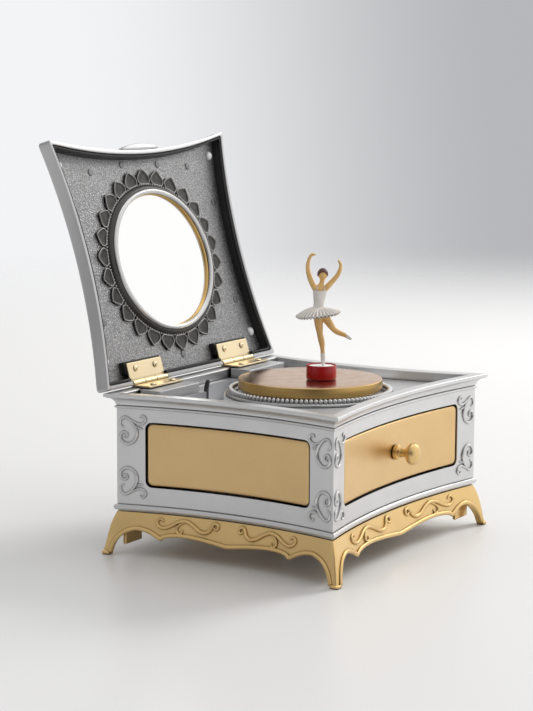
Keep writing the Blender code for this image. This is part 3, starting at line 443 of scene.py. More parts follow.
def lathe(shape, profile, steps=64, centre=(0.0, 0.0), ring=False):
    """Turn (radius, height) points round an upright axis; ends at radius 0 meet in a point."""
    rows = [[(centre[0] + r * math.cos(a), centre[1] + r * math.sin(a), z) for r, z in profile]
            for a in around(steps)]
    skin(shape, rows, closed_along=True, closed_across=ring)
    bmesh.ops.remove_doubles(shape, verts=shape.verts, dist=1e-5)
    return shape


def turned(name, profile, material, body, place=CASE, steps=64, centre=(0.0, 0.0),
           ring=False):
    """A piece made on the lathe."""
    return piece(name, lathe(bmesh.new(), profile, steps, centre, ring), material, body, place)


def slab(outline, low, high, edge):
    """A flat piece with rounded edges from a closed outline of (x, y)."""
    curve = bpy.data.curves.new("slab", "CURVE")
    curve.dimensions = "2D"
    curve.fill_mode = "BOTH"
    curve.extrude = (high - low) / 2.0 - edge
    curve.bevel_depth = edge
    curve.bevel_resolution = 3
    curve.offset = -edge
    spline = curve.splines.new("POLY")
    spline.points.add(len(outline) - 1)
    for point, (x, y) in zip(spline.points, outline):
        point.co = (x, y, 0.0, 1.0)
    spline.use_cyclic_u = True
    drawn = linked("slab", curve)
    mesh = evaluated(drawn)
    bpy.data.objects.remove(drawn, do_unlink=True)
    shape = bmesh.new()
    shape.from_mesh(mesh)
    bmesh.ops.translate(shape, verts=shape.verts, vec=(0.0, 0.0, (high + low) / 2.0))
    bmesh.ops.remove_doubles(shape, verts=shape.verts, dist=1e-4)
    return shape


def add(shape, other):
    """Put a bmesh into another one."""
    mesh = bpy.data.meshes.new("added")
    other.to_mesh(mesh)
    other.free()
    shape.from_mesh(mesh)
    bpy.data.meshes.remove(mesh)


def tube(shape, path, radii, normals, flat=1.0, sides=8, closed=False):
    """A round bar along a path, pressed flat along each point's normal."""
    path = [Vector(point) for point in path]
    last = len(path) - 1
    rows = []
    for i, point in enumerate(path):
        before = path[i - 1] if i or closed else path[0]
        after = path[(i + 1) % len(path)] if i < last or closed else path[last]
        along = (after - before).normalized()
        side = along.cross(Vector(normals[i])).normalized()
        up = side.cross(along).normalized()
        rows.append([point + radii[i] * (math.cos(a) * side + flat * math.sin(a) * up)
                     for a in around(sides)])
    skin(shape, rows, closed_along=closed, capped=not closed)


def ball(shape, centre, size, turn=None, detail=(12, 8)):
    """An ellipsoid with three half sizes."""
    placed = Matrix.Translation(centre)
    if turn is not None:
        placed = placed @ turn
    placed = placed @ Matrix.Diagonal((*size, 1.0))
    bmesh.ops.create_uvsphere(shape, u_segments=detail[0], v_segments=detail[1], radius=1.0,
                              matrix=placed)


def smooth_path(points, per=6):
    """Points along a smooth curve through the given ones."""
    ends = [points[0]] + list(points) + [points[-1]]
    path = []
    for a, b, c, d in zip(ends, ends[1:], ends[2:], ends[3:]):
        for i in range(per):
            t = i / per
            path.append(tuple(
                0.5 * (2 * q + (r - p) * t + (2 * p - 5 * q + 4 * r - s) * t * t
                       + (3 * q - p - 3 * r + s) * t ** 3)
                for p, q, r, s in zip(a, b, c, d)))
    path.append(tuple(points[-1]))
    return path


# ---------------------------------------------------------------- outlines

def arc_side(half_length, reach, sag, along):
    """How far a side that curves in stands from the centre line, at a place along it."""
    return reach - sag * (1.0 - (along / half_length) ** 2)


def side_point(side, offset, along, half_x=HALF_X, half_y=HALF_Y):
    """A point on a side of the case, at a distance along it from its middle."""
    hx = half_x + offset
    hy = half_y + offset
    if side == "front":
        return (along, -arc_side(hx, hy, FRONT_SAG, along))
    if side == "back":
        return (along, hy)
    reach = arc_side(hy, hx, SIDE_SAG, along)
    return (reach if side == "right" else -reach, along)


def along_side(half):
    """Places along a side, from one end to the other."""
    return [half * (2.0 * i / FINE - 1.0) for i in range(FINE + 1)]


def plan(offset, corner=0.4, half_x=HALF_X, half_y=HALF_Y, centre_y=0.0):
    """The case's plan with rounded corners: front, left and right curve in, the back is straight."""
    hx = half_x + offset
    hy = half_y + offset
    runs = []
    for side, half in (("front", hx), ("right", hy), ("back", -hx), ("left", -hy)):
        reach = math.copysign(abs(half) - corner, half)
        runs.append([side_point(side, offset, along, half_x, half_y) for along in along_side(reach)])
    tips = ((hx, -hy), (hx, hy), (-hx, hy), (-hx, -hy))
    points = []
    for run, tip, following in zip(runs, tips, runs[1:] + runs[:1]):
        points += run
        for t in (0.25, 0.5, 0.75):
            points.append(tuple((1 - t) ** 2 * a + 2 * t * (1 - t) * b + t * t * c
                                for a, b, c in zip(run[-1], tip, following[0])))
    return [(x, y + centre_y) for x, y in points]


def side_surface(side, offset_at):
    """A function from (along, height) to the point there and the outward direction."""
    step = 0.05

    def at(along, height):
        return Vector((*side_point(side, offset_at(height), along), height))

    def place(along, height):
        across = at(along + step, height) - at(along - step, height)
        up = at(along, height + step) - at(along, height - step)
        out = across.cross(up).normalized()
        centre = at(along, height)
        outwards = Vector((0.0, 1.0, 0.0)) if side == "back" else Vector((centre.x, centre.y, 0.0))
        if out.dot(outwards) < 0.0:
            out.negate()
        return centre, out

    return place


def rounded_box(x0, y0, x1, y1, radius, steps=6):
    """A rectangle with round corners."""
    return [(cx + radius * math.cos(a), cy + radius * math.sin(a))
            for cx, cy, start in ((x1 - radius, y0 + radius, -90.0), (x1 - radius, y1 - radius, 0.0),
                                  (x0 + radius, y1 - radius, 90.0), (x0 + radius, y0 + radius, 180.0))
            for a in arc(start, start + 90.0, steps)]


def half_round(offset, low, high, reach, steps=8):
    """Profile points of a bead that stands out by reach between two heights."""
    middle, half = (low + high) / 2.0, (high - low) / 2.0
    return [(offset + reach * math.cos(a), middle + half * math.sin(a)) for a in arc(-90.0, 90.0, steps)]


# ---------------------------------------------------------------- relief

def relief(shape, place, points, width, height, blunt=0.45):
    """A raised stroke on a surface: place gives the point and outward direction of (along, z)."""
    path = smooth_path(points)
    last = len(path) - 1
    spots = [place(s, z) for s, z in path]
    radii = [width / 2.0 * (blunt + (1.0 - blunt) * math.sin(math.pi * i / last) ** 0.6)
             for i in range(last + 1)]
    centres = [centre + out * 0.05 for centre, out in spots]
    tube(shape, centres, radii, [out for _, out in spots], flat=2.0 * height / width)
    for end in (0, last):
        centre, out = spots[end]
        size = radii[end] * 1.25
        ball(shape, centre + out * 0.05, (size, size, size), detail=(8, 6))


# The corner scroll, from the case's vertical edge inwards and from its top downwards
SCROLL_BOW = [(3.3, 5.6), (2.1, 5.0), (1.9, 3.4), (2.6, 1.9), (4.1, 1.2), (6.0, 2.2), (7.9, 4.2), (9.2, 6.4),
              (9.6, 8.6), (8.9, 11.0), (7.2, 12.8), (5.0, 13.4), (2.9, 12.5), (1.9, 10.7), (2.4, 8.7),
              (3.9, 8.0), (5.1, 9.0), (4.8, 10.2), (3.8, 10.3)]
SCROLL_BRANCH = [(4.4, 1.3), (7.0, 2.5), (9.3, 3.7), (11.2, 4.1), (13.0, 3.3), (13.7, 1.8), (12.9, 0.5),
                 (11.5, 0.3), (11.0, 1.2)]
SCROLL_LEAF = [(9.0, 5.2), (10.6, 5.9), (12.2, 6.2)]
SCROLL_TOP = 64.3
FACE_BOTTOM = 23.5              # the case's flat faces, between its lower and its upper bead
FACE_TOP = 67.3
SCROLL_STROKES = ((SCROLL_BOW, 1.5, 0.9), (SCROLL_BRANCH, 1.3, 0.8), (SCROLL_LEAF, 1.0, 0.65))

# The skirt scroll, from the side's middle outwards, as (along, height)
SKIRT_WAVE = [(7.6, 16.3), (6.3, 15.6), (5.4, 16.6), (6.0, 17.9), (7.6, 18.0), (8.6, 16.8), (9.3, 15.2),
              (11.4, 13.8), (14.6, 14.2), (18.4, 16.4), (22.0, 17.7), (25.8, 17.0), (29.4, 14.9),
              (32.6, 13.9), (35.2, 14.8), (35.9, 16.6), (34.6, 17.8), (33.2, 17.0)]
SKIRT_CURL = [(22.6, 17.2), (25.0, 15.8), (26.0, 14.0), (25.2, 12.4), (23.4, 12.4), (23.2, 13.8)]
SKIRT_STROKES = ((SKIRT_WAVE, 1.9, 1.1), (SKIRT_CURL, 1.4, 0.9))


# ---------------------------------------------------------------- stand

STAND_PROFILE = [(0.3, 19.7), (1.0, 18.2), (2.0, 15.6), (2.9, 12.6), (3.6, 9.6), (4.2, 6.6), (4.7, 3.8),
                 (5.0, 2.2)]
FOOT_LIP = [(5.1, 1.8), (5.6, 1.6), (5.95, 1.1), (5.95, 0.5), (5.6, 0.0)]
FOOT_EDGE = [(1.5, 0.0), (1.1, 1.6), (0.4, 3.8), (-0.9, 6.4), (-3.0, 9.0), (-5.7, 11.0), (-9.8, 12.4),
             (-13.8, 12.2), (-17.4, 11.2), (-20.4, 9.8), (-22.5, 8.7)]
STAND_INSIDE = [(1.8, 0.0), (1.4, 3.0), (0.9, 7.5), (0.0, 11.5), (-1.4, 15.0), (-2.4, 17.2), (-9.0, 17.2),
                (-9.0, 19.7)]
STAND_TOP = 19.7
CUSP_HEIGHT = 8.7
WAVE_STRETCH = 1.4              # the longer sides carry longer scrolls
TRIM = 1.0                      # radius of the bead along the skirt's lower edge
TRIM_END = 1.4                  # the bead stops at this height above the floor
CUT_DEPTH = 23.0                # of the tools that cut the skirt, past the feet
WEB_EDGE = 0.25                 # chamfer under the webs


def stand_offset(height):
    """How far out the stand's outer face is at a height."""
    line = sorted((z, offset) for offset, z in smooth_path(STAND_PROFILE, 3) + FOOT_LIP)
    for (z0, a), (z1, b) in zip(line, line[1:]):
        if height <= z1:
            return a + (b - a) * max(0.0, (height - z0) / (z1 - z0))
    return line[-1][1]


def scallop(half, lift=0.0):
    """The skirt's lower edge from one foot to the middle, as (along, height)."""
    points = [(half + s, z) for s, z in smooth_path(FOOT_EDGE, 5)]
    cusp = points[-1][0]
    for i in range(1, 21):
        t = i / 20.0
        points.append((cusp * (1.0 - t), CUSP_HEIGHT + 2.3 * math.sin(math.pi * t ** 0.6)))
    return [(s, z + lift) for s, z in points]


def mirrored(line):
    """A line that ends at the middle of a side, carried on to the other end."""
    return line + [(-s, z) for s, z in reversed(line[:-1])]


def make_stand():
    """The gold stand with its feet, the bead along its edge, its scrolls and its webs."""
    rings = [(plan(offset, 2.0 + 0.09 * (STAND_TOP - z)), z)
             for offset, z in smooth_path(STAND_PROFILE, 3) + FOOT_LIP]
    rings += [(plan(offset, 2.0), z) for offset, z in STAND_INSIDE]
    made = piece("stand", loft(rings), GOLD, "case")
    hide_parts("base_stand")
    tools = []
    for side in ("front", "back", "left", "right"):
        line = mirrored(scallop(SIDE_HALF[side]))
        outline = [(line[0][0], -1.0), *line, (line[-1][0], -1.0)]
        near = SIDE_REACH[side] - 3.0
        tools.append(side_tool("skirt_cut_" + side, side, outline, near, near + CUT_DEPTH))
    cut(made, *tools)

    trim = bmesh.new()
    scrolls = bmesh.new()
    for side, half in SIDE_HALF.items():
        place = side_surface(side, stand_offset)
        line = [(s, z) for s, z in scallop(half, 0.35) if z > TRIM_END]
        spots = [place(s, z) for s, z in mirrored(line)]
        tube(trim, [centre + out * 0.15 for centre, out in spots], [TRIM] * len(spots),
             [out for _, out in spots], flat=0.85, sides=10)
        stretch = WAVE_STRETCH if side in ("front", "back") else 1.0
        for sign in (-1, 1):
            for points, width, height in SKIRT_STROKES:
                line = [(sign * s * stretch, z) for s, z in points]
                relief(scrolls, place, line, width, height, 0.5)
    piece("stand_trim", trim, GOLD, "case", crease=60.0)
    piece("stand_scrolls", scrolls, GOLD, "case", crease=60.0)

    webs = bmesh.new()
    for sx in (-1, 1):
        for sy in (-1, 1):
            x0, x1 = sorted((sx * WEB_INNER, sx * WEB_OUTER))
            y0, y1 = sorted((sy * WEB_FACE, sy * (WEB_FACE + WEB_THICK)))
            rows = []
            for inset, z in ((WEB_EDGE, WEB_LOW), (0.0, WEB_LOW + WEB_EDGE), (0.0, WEB_TOP)):
                outline = rounded_box(x0 + inset, y0 + inset, x1 - inset, y1 - inset, 0.4, 2)
                rows.append([(x, y, z) for x, y in outline])
            skin(webs, rows, capped=True)
    piece("stand_webs", webs, GOLD, "case")


# ---------------------------------------------------------------- case

def side_tool(name, side, outline, near, far):
    """A tool with an upright outline that points out through a side, from near to far."""
    turn = Matrix.Rotation(math.radians(SIDE_TURN[side]), 4, "Z")
    shape = prism(outline, near, far)
    bmesh.ops.transform(shape, matrix=turn @ Matrix.Rotation(math.radians(90.0), 4, "X"),
                        verts=shape.verts)
    return tool(name, shape)


def opening(side, half):
    """A tool that cuts a panel's round-cornered opening right through one side of the case."""
    outline = rounded_box(-half - PANEL_GAP, PANEL_BOTTOM - PANEL_GAP, half + PANEL_GAP,
                          PANEL_TOP + PANEL_GAP, OPENING_CORNER + PANEL_GAP)
    reach = HALF_X if side in ("left", "right") else HALF_Y
    return side_tool("opening_" + side, side, outline, reach - 22.0, reach + 22.0)


def make_case():
    """The case's walls with their beads, cornice and openings, and the corner scrolls."""
    outer = [(-0.3, BODY_BOTTOM), (-0.3, 20.35), (0.1, 20.35)]
    outer += half_round(0.1, 20.4, 23.0, 1.1, 12)
    outer += [(-0.3, 23.05), (-0.3, 23.4), (0.0, 23.4), (0.0, 67.0)]
    outer += half_round(0.0, 67.0, 68.3, 0.8, 10)
    outer += [(-0.1, 68.35), (-0.1, 68.6), (0.35, 68.6)]
    outer += [(0.35 + 3.2 * (1.0 - math.cos(a)) ** 0.9, 68.7 + 3.1 * math.sin(a))
              for a in arc(0.0, 90.0, 12)]
    outer += [(3.6, 72.0), (3.6, 72.15), (CORNICE - 0.1, 72.2), (CORNICE, 72.35),
              (CORNICE, RIM_TOP - 0.5), (CORNICE - 0.12, RIM_TOP - 0.2),
              (CORNICE - 0.35, RIM_TOP - 0.04), (CORNICE - 0.7, RIM_TOP)]
    inner = [(-1.3, RIM_TOP), (-1.8, RIM_TOP - 0.2), (-WALL, RIM_TOP - 0.6), (-WALL, BODY_BOTTOM)]
    rings = [(plan(offset, 0.5), z) for offset, z in outer + inner]
    made = piece("case_walls", loft(rings), SILVER, "case", crease=16.0)
    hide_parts("case_body")
    tools = [opening("front", DRAWER_HALF), opening("back", DRAWER_HALF), opening("left", PANEL_HALF),
             opening("right", PANEL_HALF)]
    cut(made, *tools, crease=16.0)

    scrolls = bmesh.new()
    middle = (FACE_BOTTOM + FACE_TOP) / 2.0
    for side, half in SIDE_HALF.items():
        place = side_surface(side, lambda height: 0.0)
        for sign in (-1, 1):
            for flip in (-1, 1):
                for points, width, height in SCROLL_STROKES:
                    line = [(sign * (half - u), middle + flip * (SCROLL_TOP - v - middle))
                            for u, v in points]
                    relief(scrolls, place, line, width, height)
    piece("case_scrolls", scrolls, SILVER, "case", crease=60.0)


def make_panel(name, side, half, body, replaced, thick=3.0):
    """A plate that follows a side, with round corners and rolled edges.

    The front and the back are sheets of small quads, and rings round the edge join them."""
    shape = bmesh.new()
    left, right = -half + PANEL_CORNER, half - PANEL_CORNER
    low, high = PANEL_BOTTOM + PANEL_CORNER, PANEL_TOP - PANEL_CORNER
    columns, levels, turns = 48, 8, 8

    def at(depth, s, z):
        return shape.verts.new((*side_point(side, -depth, s), z))

    def sheet(depth):
        grid = [[at(depth, left + (right - left) * i / columns, low + (high - low) * j / levels)
                 for j in range(levels + 1)] for i in range(columns + 1)]
        for i in range(columns):
            for j in range(levels):
                shape.faces.new((grid[i][j], grid[i + 1][j], grid[i + 1][j + 1], grid[i][j + 1]))
        return [grid[i][j] for i, j, heading in border]

    def joined(first, second):
        for k in range(len(border)):
            n = (k + 1) % len(border)
            corners = []
            for corner in (first[k], first[n], second[n], second[k]):
                if corner not in corners:
                    corners.append(corner)
            shape.faces.new(corners)

    # A sheet's border, each point with the direction that leads outwards from it
    walk = [(i, 0, 270.0) for i in range(columns)]
    walk += [(columns, j, 0.0) for j in range(levels)]
    walk += [(i, levels, 90.0) for i in range(columns, 0, -1)]
    walk += [(0, j, 180.0) for j in range(levels, 0, -1)]
    border = []
    for i, j, heading in walk:
        if i in (0, columns) and j in (0, levels):
            border += [(i, j, heading - 90.0 * (1.0 - k / turns)) for k in range(turns + 1)]
        else:
            border.append((i, j, heading))
    rows = [(PANEL_ROLL * (1.0 - math.sin(a)), PANEL_SUNK + PANEL_ROLL * (1.0 - math.cos(a)))
            for a in arc(0.0, 90.0, 6)]
    rows.append((0.0, thick))
    last = sheet(PANEL_SUNK)
    for inset, depth in rows:
        reach = PANEL_CORNER - inset
        ring = [at(depth, left + (right - left) * i / columns + reach * math.cos(math.radians(heading)),
                   low + (high - low) * j / levels + reach * math.sin(math.radians(heading)))
                for i, j, heading in border]
        joined(last, ring)
        last = ring
    joined(last, sheet(thick))
    panel = piece(name, shape, PANEL_GOLD, body, crease=50.0)
    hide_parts(replaced)


# ---------------------------------------------------------------- drawer

KNOB_STEM = [(2.1, 5.9), (1.95, 5.2), (1.95, 3.4), (2.2, 2.9), (2.9, 2.7), (3.35, 2.3), (3.4, 1.6),
             (3.4, 0.6), (3.2, 0.35), (1.2, 0.3), (1.2, -5.0), (0.0, -5.0)]
DRAWER_WALL = 1.8               # of the drawer's tray
DRAWER_FLOOR = 1.65             # the lining's height above the tray's underside,
LINING_FRONT = -4.6             # how far its front edge lies behind the case's front,
LINING_THICK = 0.8              # and its thickness


def make_drawer():
    """The drawer's curved front with its knob, and the lining of its tray."""
    make_panel("drawer_face", "front", DRAWER_HALF, "drawer", "drawer_front", thick=2.4)
    face_y = side_point("front", 0.0, 0.0)[1]
    middle = (PANEL_BOTTOM + PANEL_TOP) / 2.0
    crown = [(5.0 * math.sin(a), 9.3 + 3.4 * math.cos(a)) for a in arc(0.0, 151.2, 20)]
    forward = CASE @ Matrix.Translation((0.0, (face_y + 0.1) * MM, middle * MM))
    forward = forward @ Matrix.Rotation(math.radians(90.0), 4, "X")
    knob = turned("knob", crown + KNOB_STEM, GOLD, "drawer", forward, steps=40)
    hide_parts("drawer_knob")

    low, high = node_box("drawer_tray")
    floor = low.z + DRAWER_FLOOR
    inner = high.x - DRAWER_WALL
    back = high.y - CASE_Y - DRAWER_WALL
    outline = [side_point("front", LINING_FRONT, s) for s in along_side(inner)]
    outline += [(inner, back), (-inner, back)]
    piece("drawer_lining", slab(outline, floor, floor + LINING_THICK, 0.2), LINING, "drawer")


# ---------------------------------------------------------------- tray

def round_tool(name, radius, top, steps):
    """An upright bar round the turntable's axis."""
    bar = [(0.0, 50.0), (radius, 50.0), (radius, top), (0.0, top)]
    return tool(name, lathe(bmesh.new(), bar, steps, (0.0, AXIS_Y)))


def pocket_tool(name, x0, y0, x1, y1):
    """A tool for one pocket, cut back to the turntable's well."""
    shape = prism(rounded_box(x0, y0, x1, y1, 2.0), POCKET_FLOOR, BLOCK_TOP + 6.0)
    made = tool("pocket_" + name, shape)
    cut(made, round_tool("well_" + name, WELL_RADIUS, 90.0, 96))
    return made


POCKETS = (("left", -56.4, -14.0, -20.0, 16.0), ("left_rear", -57.2, 17.8, -20.0, 40.4),
           ("rear", -20.4, 20.0, 20.4, 50.2), ("right_rear", 20.0, 17.8, 57.2, 40.4),
           ("right", 20.0, -14.0, 56.4, 16.0))
BUSH = [(2.4, 70.3), (6.2, 70.3), (6.5, 70.1), (6.5, 69.3), (3.8, 69.3), (3.8, 65.5), (2.4, 65.5)]
TRAY_INSET = -4.2               # the tray's edge from the case's sides, below its ledge,
LEDGE_INSET = -2.3              # and above it
LEDGE_LOW, LEDGE_HIGH = 66.4, 67.0
ROPE_BEADS = 108
ROPE_HEIGHT = 71.35
ROPE_HOLDER = [(35.7, 69.3), (39.2, 69.3), (39.2, 70.1), (39.0, 70.4), (38.7, 70.4), (38.45, 70.15),
               (38.2, 69.9), (37.6, 70.6), (36.4, 70.6), (35.7, 70.1)]


def make_tray():
    """The jewel tray with its pockets and white floors, its hinge blocks, rope bead and bush."""
    rings = [(plan(inset, 1.0), z) for inset, z in (
        (TRAY_INSET, TRAY_BOTTOM), (TRAY_INSET, LEDGE_LOW), (LEDGE_INSET, LEDGE_HIGH),
        (LEDGE_INSET, TRAY_DECK))]
    made = piece("tray", loft(rings, capped=True), TRAY, "case", others=(TRAY_WHITE,))
    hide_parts("jewel_tray")
    cut(made, *[pocket_tool(*pocket) for pocket in POCKETS], round_tool("bush_hole", 4.1, 80.0, 32))
    inner_wall = WELL_RADIUS + 0.4
    for face in made.data.polygons:
        x, y, z = face.center / MM
        near = math.hypot(x, y - CASE_Y - AXIS_Y) < inner_wall
        if POCKET_FLOOR - 0.1 < z < TRAY_DECK - 0.1 and (abs(face.normal.z) > 0.5 or near):
            face.material_index = 1

    blocks = bmesh.new()
    for side in (-1, 1):
        x0, x1 = sorted((side * (HINGE_X - 16.0), side * (HINGE_X + 17.0)))
        add(blocks, slab(rounded_box(x0, 42.0, x1, 53.2, 0.8), TRAY_DECK - 1.0, BLOCK_TOP, 0.35))
    piece("hinge_blocks", blocks, TRAY, "case")

    make_rope()
    made = turned("bush", BUSH, BRASS, "case", centre=(0.0, AXIS_Y), ring=True)
    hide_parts("spindle_bush")


def make_rope():
    """The twisted rope bead round the turntable, and the thin ring that holds it."""
    rope = bmesh.new()
    for angle in around(ROPE_BEADS):
        centre = (ROPE_RADIUS * math.cos(angle), AXIS_Y + ROPE_RADIUS * math.sin(angle), ROPE_HEIGHT)
        turn = Matrix.Rotation(angle + math.radians(28.0), 4, "Z")
        turn = turn @ Matrix.Rotation(math.radians(-14.0), 4, "X")
        ball(rope, centre, (1.45, 1.0, 1.32), turn)
    lathe(rope, ROPE_HOLDER, 96, (0.0, AXIS_Y), ring=True)
    made = piece("rope_bead", rope, RIM_SILVER, "case", crease=60.0)
    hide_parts("rope_ring")


# ---------------------------------------------------------------- turntable and dancer

def make_turntable():
    """The gold disc with its brushed copper top, and the dancer's red drum and white platform."""
    under = DISC_TOP - DISC_THICK
    edge = 0.45
    profile = [(0.0, DISC_TOP), (12.0, DISC_TOP), (24.0, DISC_TOP), (DISC_RADIUS - edge, DISC_TOP)]
    profile += [(DISC_RADIUS - edge + edge * math.sin(a), DISC_TOP - edge + edge * math.cos(a))
                for a in arc(0.0, 90.0, 4)[1:]]
    profile += [(DISC_RADIUS, under + 0.4), (DISC_RADIUS - 0.3, under), (5.0, under), (5.0, under - 1.2),
                (2.3, under - 1.2), (2.3, under + 2.0), (0.0, under + 2.0)]
    made = turned("disc", profile, BRUSHED_GOLD, "turntable", steps=128,
                  centre=(0.0, AXIS_Y))
    made.data.materials.append(COPPER)
    for face in made.data.polygons:
        if face.normal.z > 0.9:
            face.material_index = 1
    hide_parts("turntable_disc")

    bottom = DISC_TOP + 0.3
    top = node_box("dancer_drum")[1].z
    rim = 0.35
    well, floor = DRUM_WELL
    profile = [(0.0, floor), (well, floor), (well, top - 0.3), (well + 0.1, top - 0.08), (well + 0.25, top)]
    profile += [(DRUM_RADIUS - rim * 0.35, top - 0.1), (DRUM_RADIUS, top - rim), (DRUM_RADIUS, bottom + 0.4),
                (DRUM_RADIUS - 0.15, bottom + 0.12), (DRUM_RADIUS - 0.4, bottom), (0.0, bottom)]
    made = turned("drum", profile, RED, "dancer", DRUM, steps=80)
    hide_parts("dancer_drum")
    profile = [(0.0, PLATFORM_TOP), (4.0, PLATFORM_TOP), (5.9, PLATFORM_TOP - 0.05),
               (6.2, PLATFORM_TOP - 0.3), (6.2, PLATFORM_FOOT), (0.0, PLATFORM_FOOT)]
    made = turned("platform", profile, WHITE, "dancer", DRUM)
    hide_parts("drum_platform")


# The figure is measured from the soles of the dancer's shoes; joints are (point, radius)
FIGURE = DANCER @ Matrix.Translation((0.0, 0.0, (PLATFORM_TOP + 0.05) * MM))
STANDING_LEG = [((0.8, 0.0, 0.3), 0.55), ((0.8, 0.0, 1.4), 0.95), ((0.75, 0.0, 3.0), 1.15),
                ((0.6, 0.0, 5.4), 1.1), ((0.4, 0.0, 7.4), 1.0), ((0.2, 0.1, 10.0), 1.35),
                ((-0.2, 0.1, 12.0), 1.5), ((-0.8, 0.0, 14.6), 1.45), ((-1.0, 0.0, 16.2), 1.6),
                ((-1.4, 0.0, 19.6), 2.0), ((-1.9, 0.0, 25.2), 2.3)]
RAISED_LEG = [((0.0, 0.3, 24.6), 1.9), ((1.6, 0.5, 22.4), 2.0), ((3.6, 0.9, 19.4), 1.8),
              ((5.4, 1.4, 16.9), 1.4), ((7.0, 1.6, 15.6), 1.35), ((9.2, 1.6, 14.6), 1.2),
              ((10.9, 1.3, 14.0), 1.0), ((12.0, 1.1, 13.4), 1.05), ((13.3, 1.0, 12.5), 0.75)]
ARMS = ([((-2.6, 0.0, 34.6), 1.4), ((-3.8, 0.0, 36.6), 1.35), ((-5.3, 0.0, 39.6), 1.2),
         ((-6.4, 0.0, 43.2), 1.1), ((-6.6, 0.0, 46.6), 0.92), ((-5.9, 0.0, 49.6), 0.75),
         ((-4.7, 0.0, 51.2), 0.72), ((-3.3, 0.0, 51.3), 0.45)],
        [((0.6, 0.0, 34.4), 1.4), ((2.3, 0.0, 36.4), 1.35), ((4.6, 0.0, 38.9), 1.2),
         ((7.0, 0.0, 41.8), 1.05), ((8.2, 0.0, 44.6), 0.92), ((8.4, 0.0, 46.4), 0.75),
         ((8.0, 0.0, 47.7), 0.68), ((7.3, 0.0, 48.6), 0.42)])
TORSO = [((-1.9, 0.0, 24.0), 2.4), ((-1.7, 0.0, 26.4), 2.5), ((-1.4, 0.0, 28.6), 2.2),
         ((-1.2, 0.0, 31.0), 2.5), ((-1.0, 0.0, 33.4), 2.8), ((-0.9, 0.0, 35.2), 2.8),
         ((-0.7, 0.0, 36.4), 2.2), ((-0.4, 0.0, 37.5), 1.3), ((-0.1, 0.0, 38.8), 1.1),
         ((0.1, 0.0, 40.4), 1.2)]
HEAD = Vector((0.25, -0.1, 42.2))


def limb(shape, joints, per=5, sides=14, depth=1.0):
    """A smooth limb through (point, radius) joints; depth flattens it from front to back."""
    path = smooth_path([(*point, radius) for point, radius in joints], per)
    tube(shape, [p[:3] for p in path], [p[3] for p in path], [(0.0, 1.0, 0.0)] * len(path), depth, sides)
    for x, y, z, radius in (path[0], path[-1]):
        ball(shape, (x, y, z), (radius, radius * depth, radius))


def figure_piece(name, shape, material, crease=60.0, others=()):
    """A piece of the dancer's figure."""
    return piece(name, shape, material, "dancer", FIGURE, crease, others)


def make_figure():
    """The dancer's body: limbs, head and neck grown into one skin, with white shoes."""
    body = bmesh.new()
    limb(body, STANDING_LEG)
    limb(body, RAISED_LEG)
    limb(body, TORSO, sides=20, depth=0.72)
    for arm in ARMS:
        limb(body, arm)
    ball(body, HEAD, (2.15, 2.3, 2.6), detail=(24, 16))
    ball(body, HEAD + Vector((0.0, -0.35, -1.1)), (1.5, 1.75, 1.5), detail=(20, 14))
    ball(body, HEAD + Vector((0.0, -2.08, -0.35)), (0.26, 0.42, 0.5), detail=(10, 8))
    for sign in (-1, 1):
        ball(body, HEAD + Vector((sign * 1.9, 0.25, -0.3)), (0.3, 0.45, 0.6), detail=(10, 8))
        ball(body, HEAD + Vector((sign * 0.8, -1.75, -0.05)), (0.42, 0.3, 0.3), detail=(10, 8))
    figure = figure_piece("figure_body", body, SKIN, 180.0, (WHITE,))
    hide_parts("dancer_figure")
    remesh = figure.modifiers.new("grow", "REMESH")
    remesh.mode = "VOXEL"
    remesh.voxel_size = 0.2 * MM
    relax = figure.modifiers.new("relax", "SMOOTH")
    relax.iterations = 4
    bake(figure)
    figure.data.shade_smooth()
    to_figure = (FIGURE @ Matrix.Scale(MM, 4)).inverted()
    for face in figure.data.polygons:
        place = to_figure @ face.center
        shoe = place.z < 6.1 - 0.5 * abs(place.x - 0.6) and place.x < 5.0
        toe = place.x > 11.3 and place.z < 20.0
        face.material_index = 1 if shoe or toe else 0

    details = bmesh.new()
    for sign in (-1, 1):
        ball(details, HEAD + Vector((sign * 0.78, -1.93, -0.1)), (0.3, 0.14, 0.13), detail=(10, 6))
        brow = [(sign * 0.42, -2.02, 0.3), (sign * 0.8, -1.98, 0.42), (sign * 1.2, -1.78, 0.3)]
        tube(details, [HEAD + Vector(point) for point in smooth_path(brow, 3)], [0.07] * 7,
             [(0.0, 1.0, 0.0)] * 7, 1.0, 6)
    figure_piece("figure_eyes", details, EYES)
    mouth = bmesh.new()
    ball(mouth, HEAD + Vector((0.0, -1.93, -1.22)), (0.46, 0.16, 0.13), detail=(12, 6))
    ball(mouth, HEAD + Vector((0.0, -1.88, -1.42)), (0.34, 0.16, 0.13), detail=(12, 6))
    figure_piece("figure_mouth", mouth, LIPS)


def make_hair():
    """A short swept cap of hair with a small knot at the back."""
    hair = bmesh.new()
    rows = []
    for polar in arc(0.0, 111.6, 14):
        row = []
        for angle in around(48):
            front = max(0.0, -math.sin(angle))
            reach = polar * (1.0 - 0.42 * front ** 1.5)
            wave = 1.0 + 0.025 * math.sin(9.0 * angle + 3.0 * polar)
            row.append(HEAD + Vector((2.5 * wave * math.sin(reach) * math.cos(angle),
                                      2.62 * wave * math.sin(reach) * math.sin(angle) + 0.12,
                                      2.82 * wave * math.cos(reach) + 0.02)))
        rows.append(row)
    for row in list(reversed(rows[1:])):
        rows.append([HEAD + (point - HEAD) * 0.86 for point in row])
    skin(hair, rows)
    ball(hair, HEAD + Vector((0.0, 2.35, 0.7)), (0.85, 0.75, 0.8))
    bmesh.ops.remove_doubles(hair, verts=hair.verts, dist=1e-4)
    figure_piece("figure_hair", hair, HAIR)


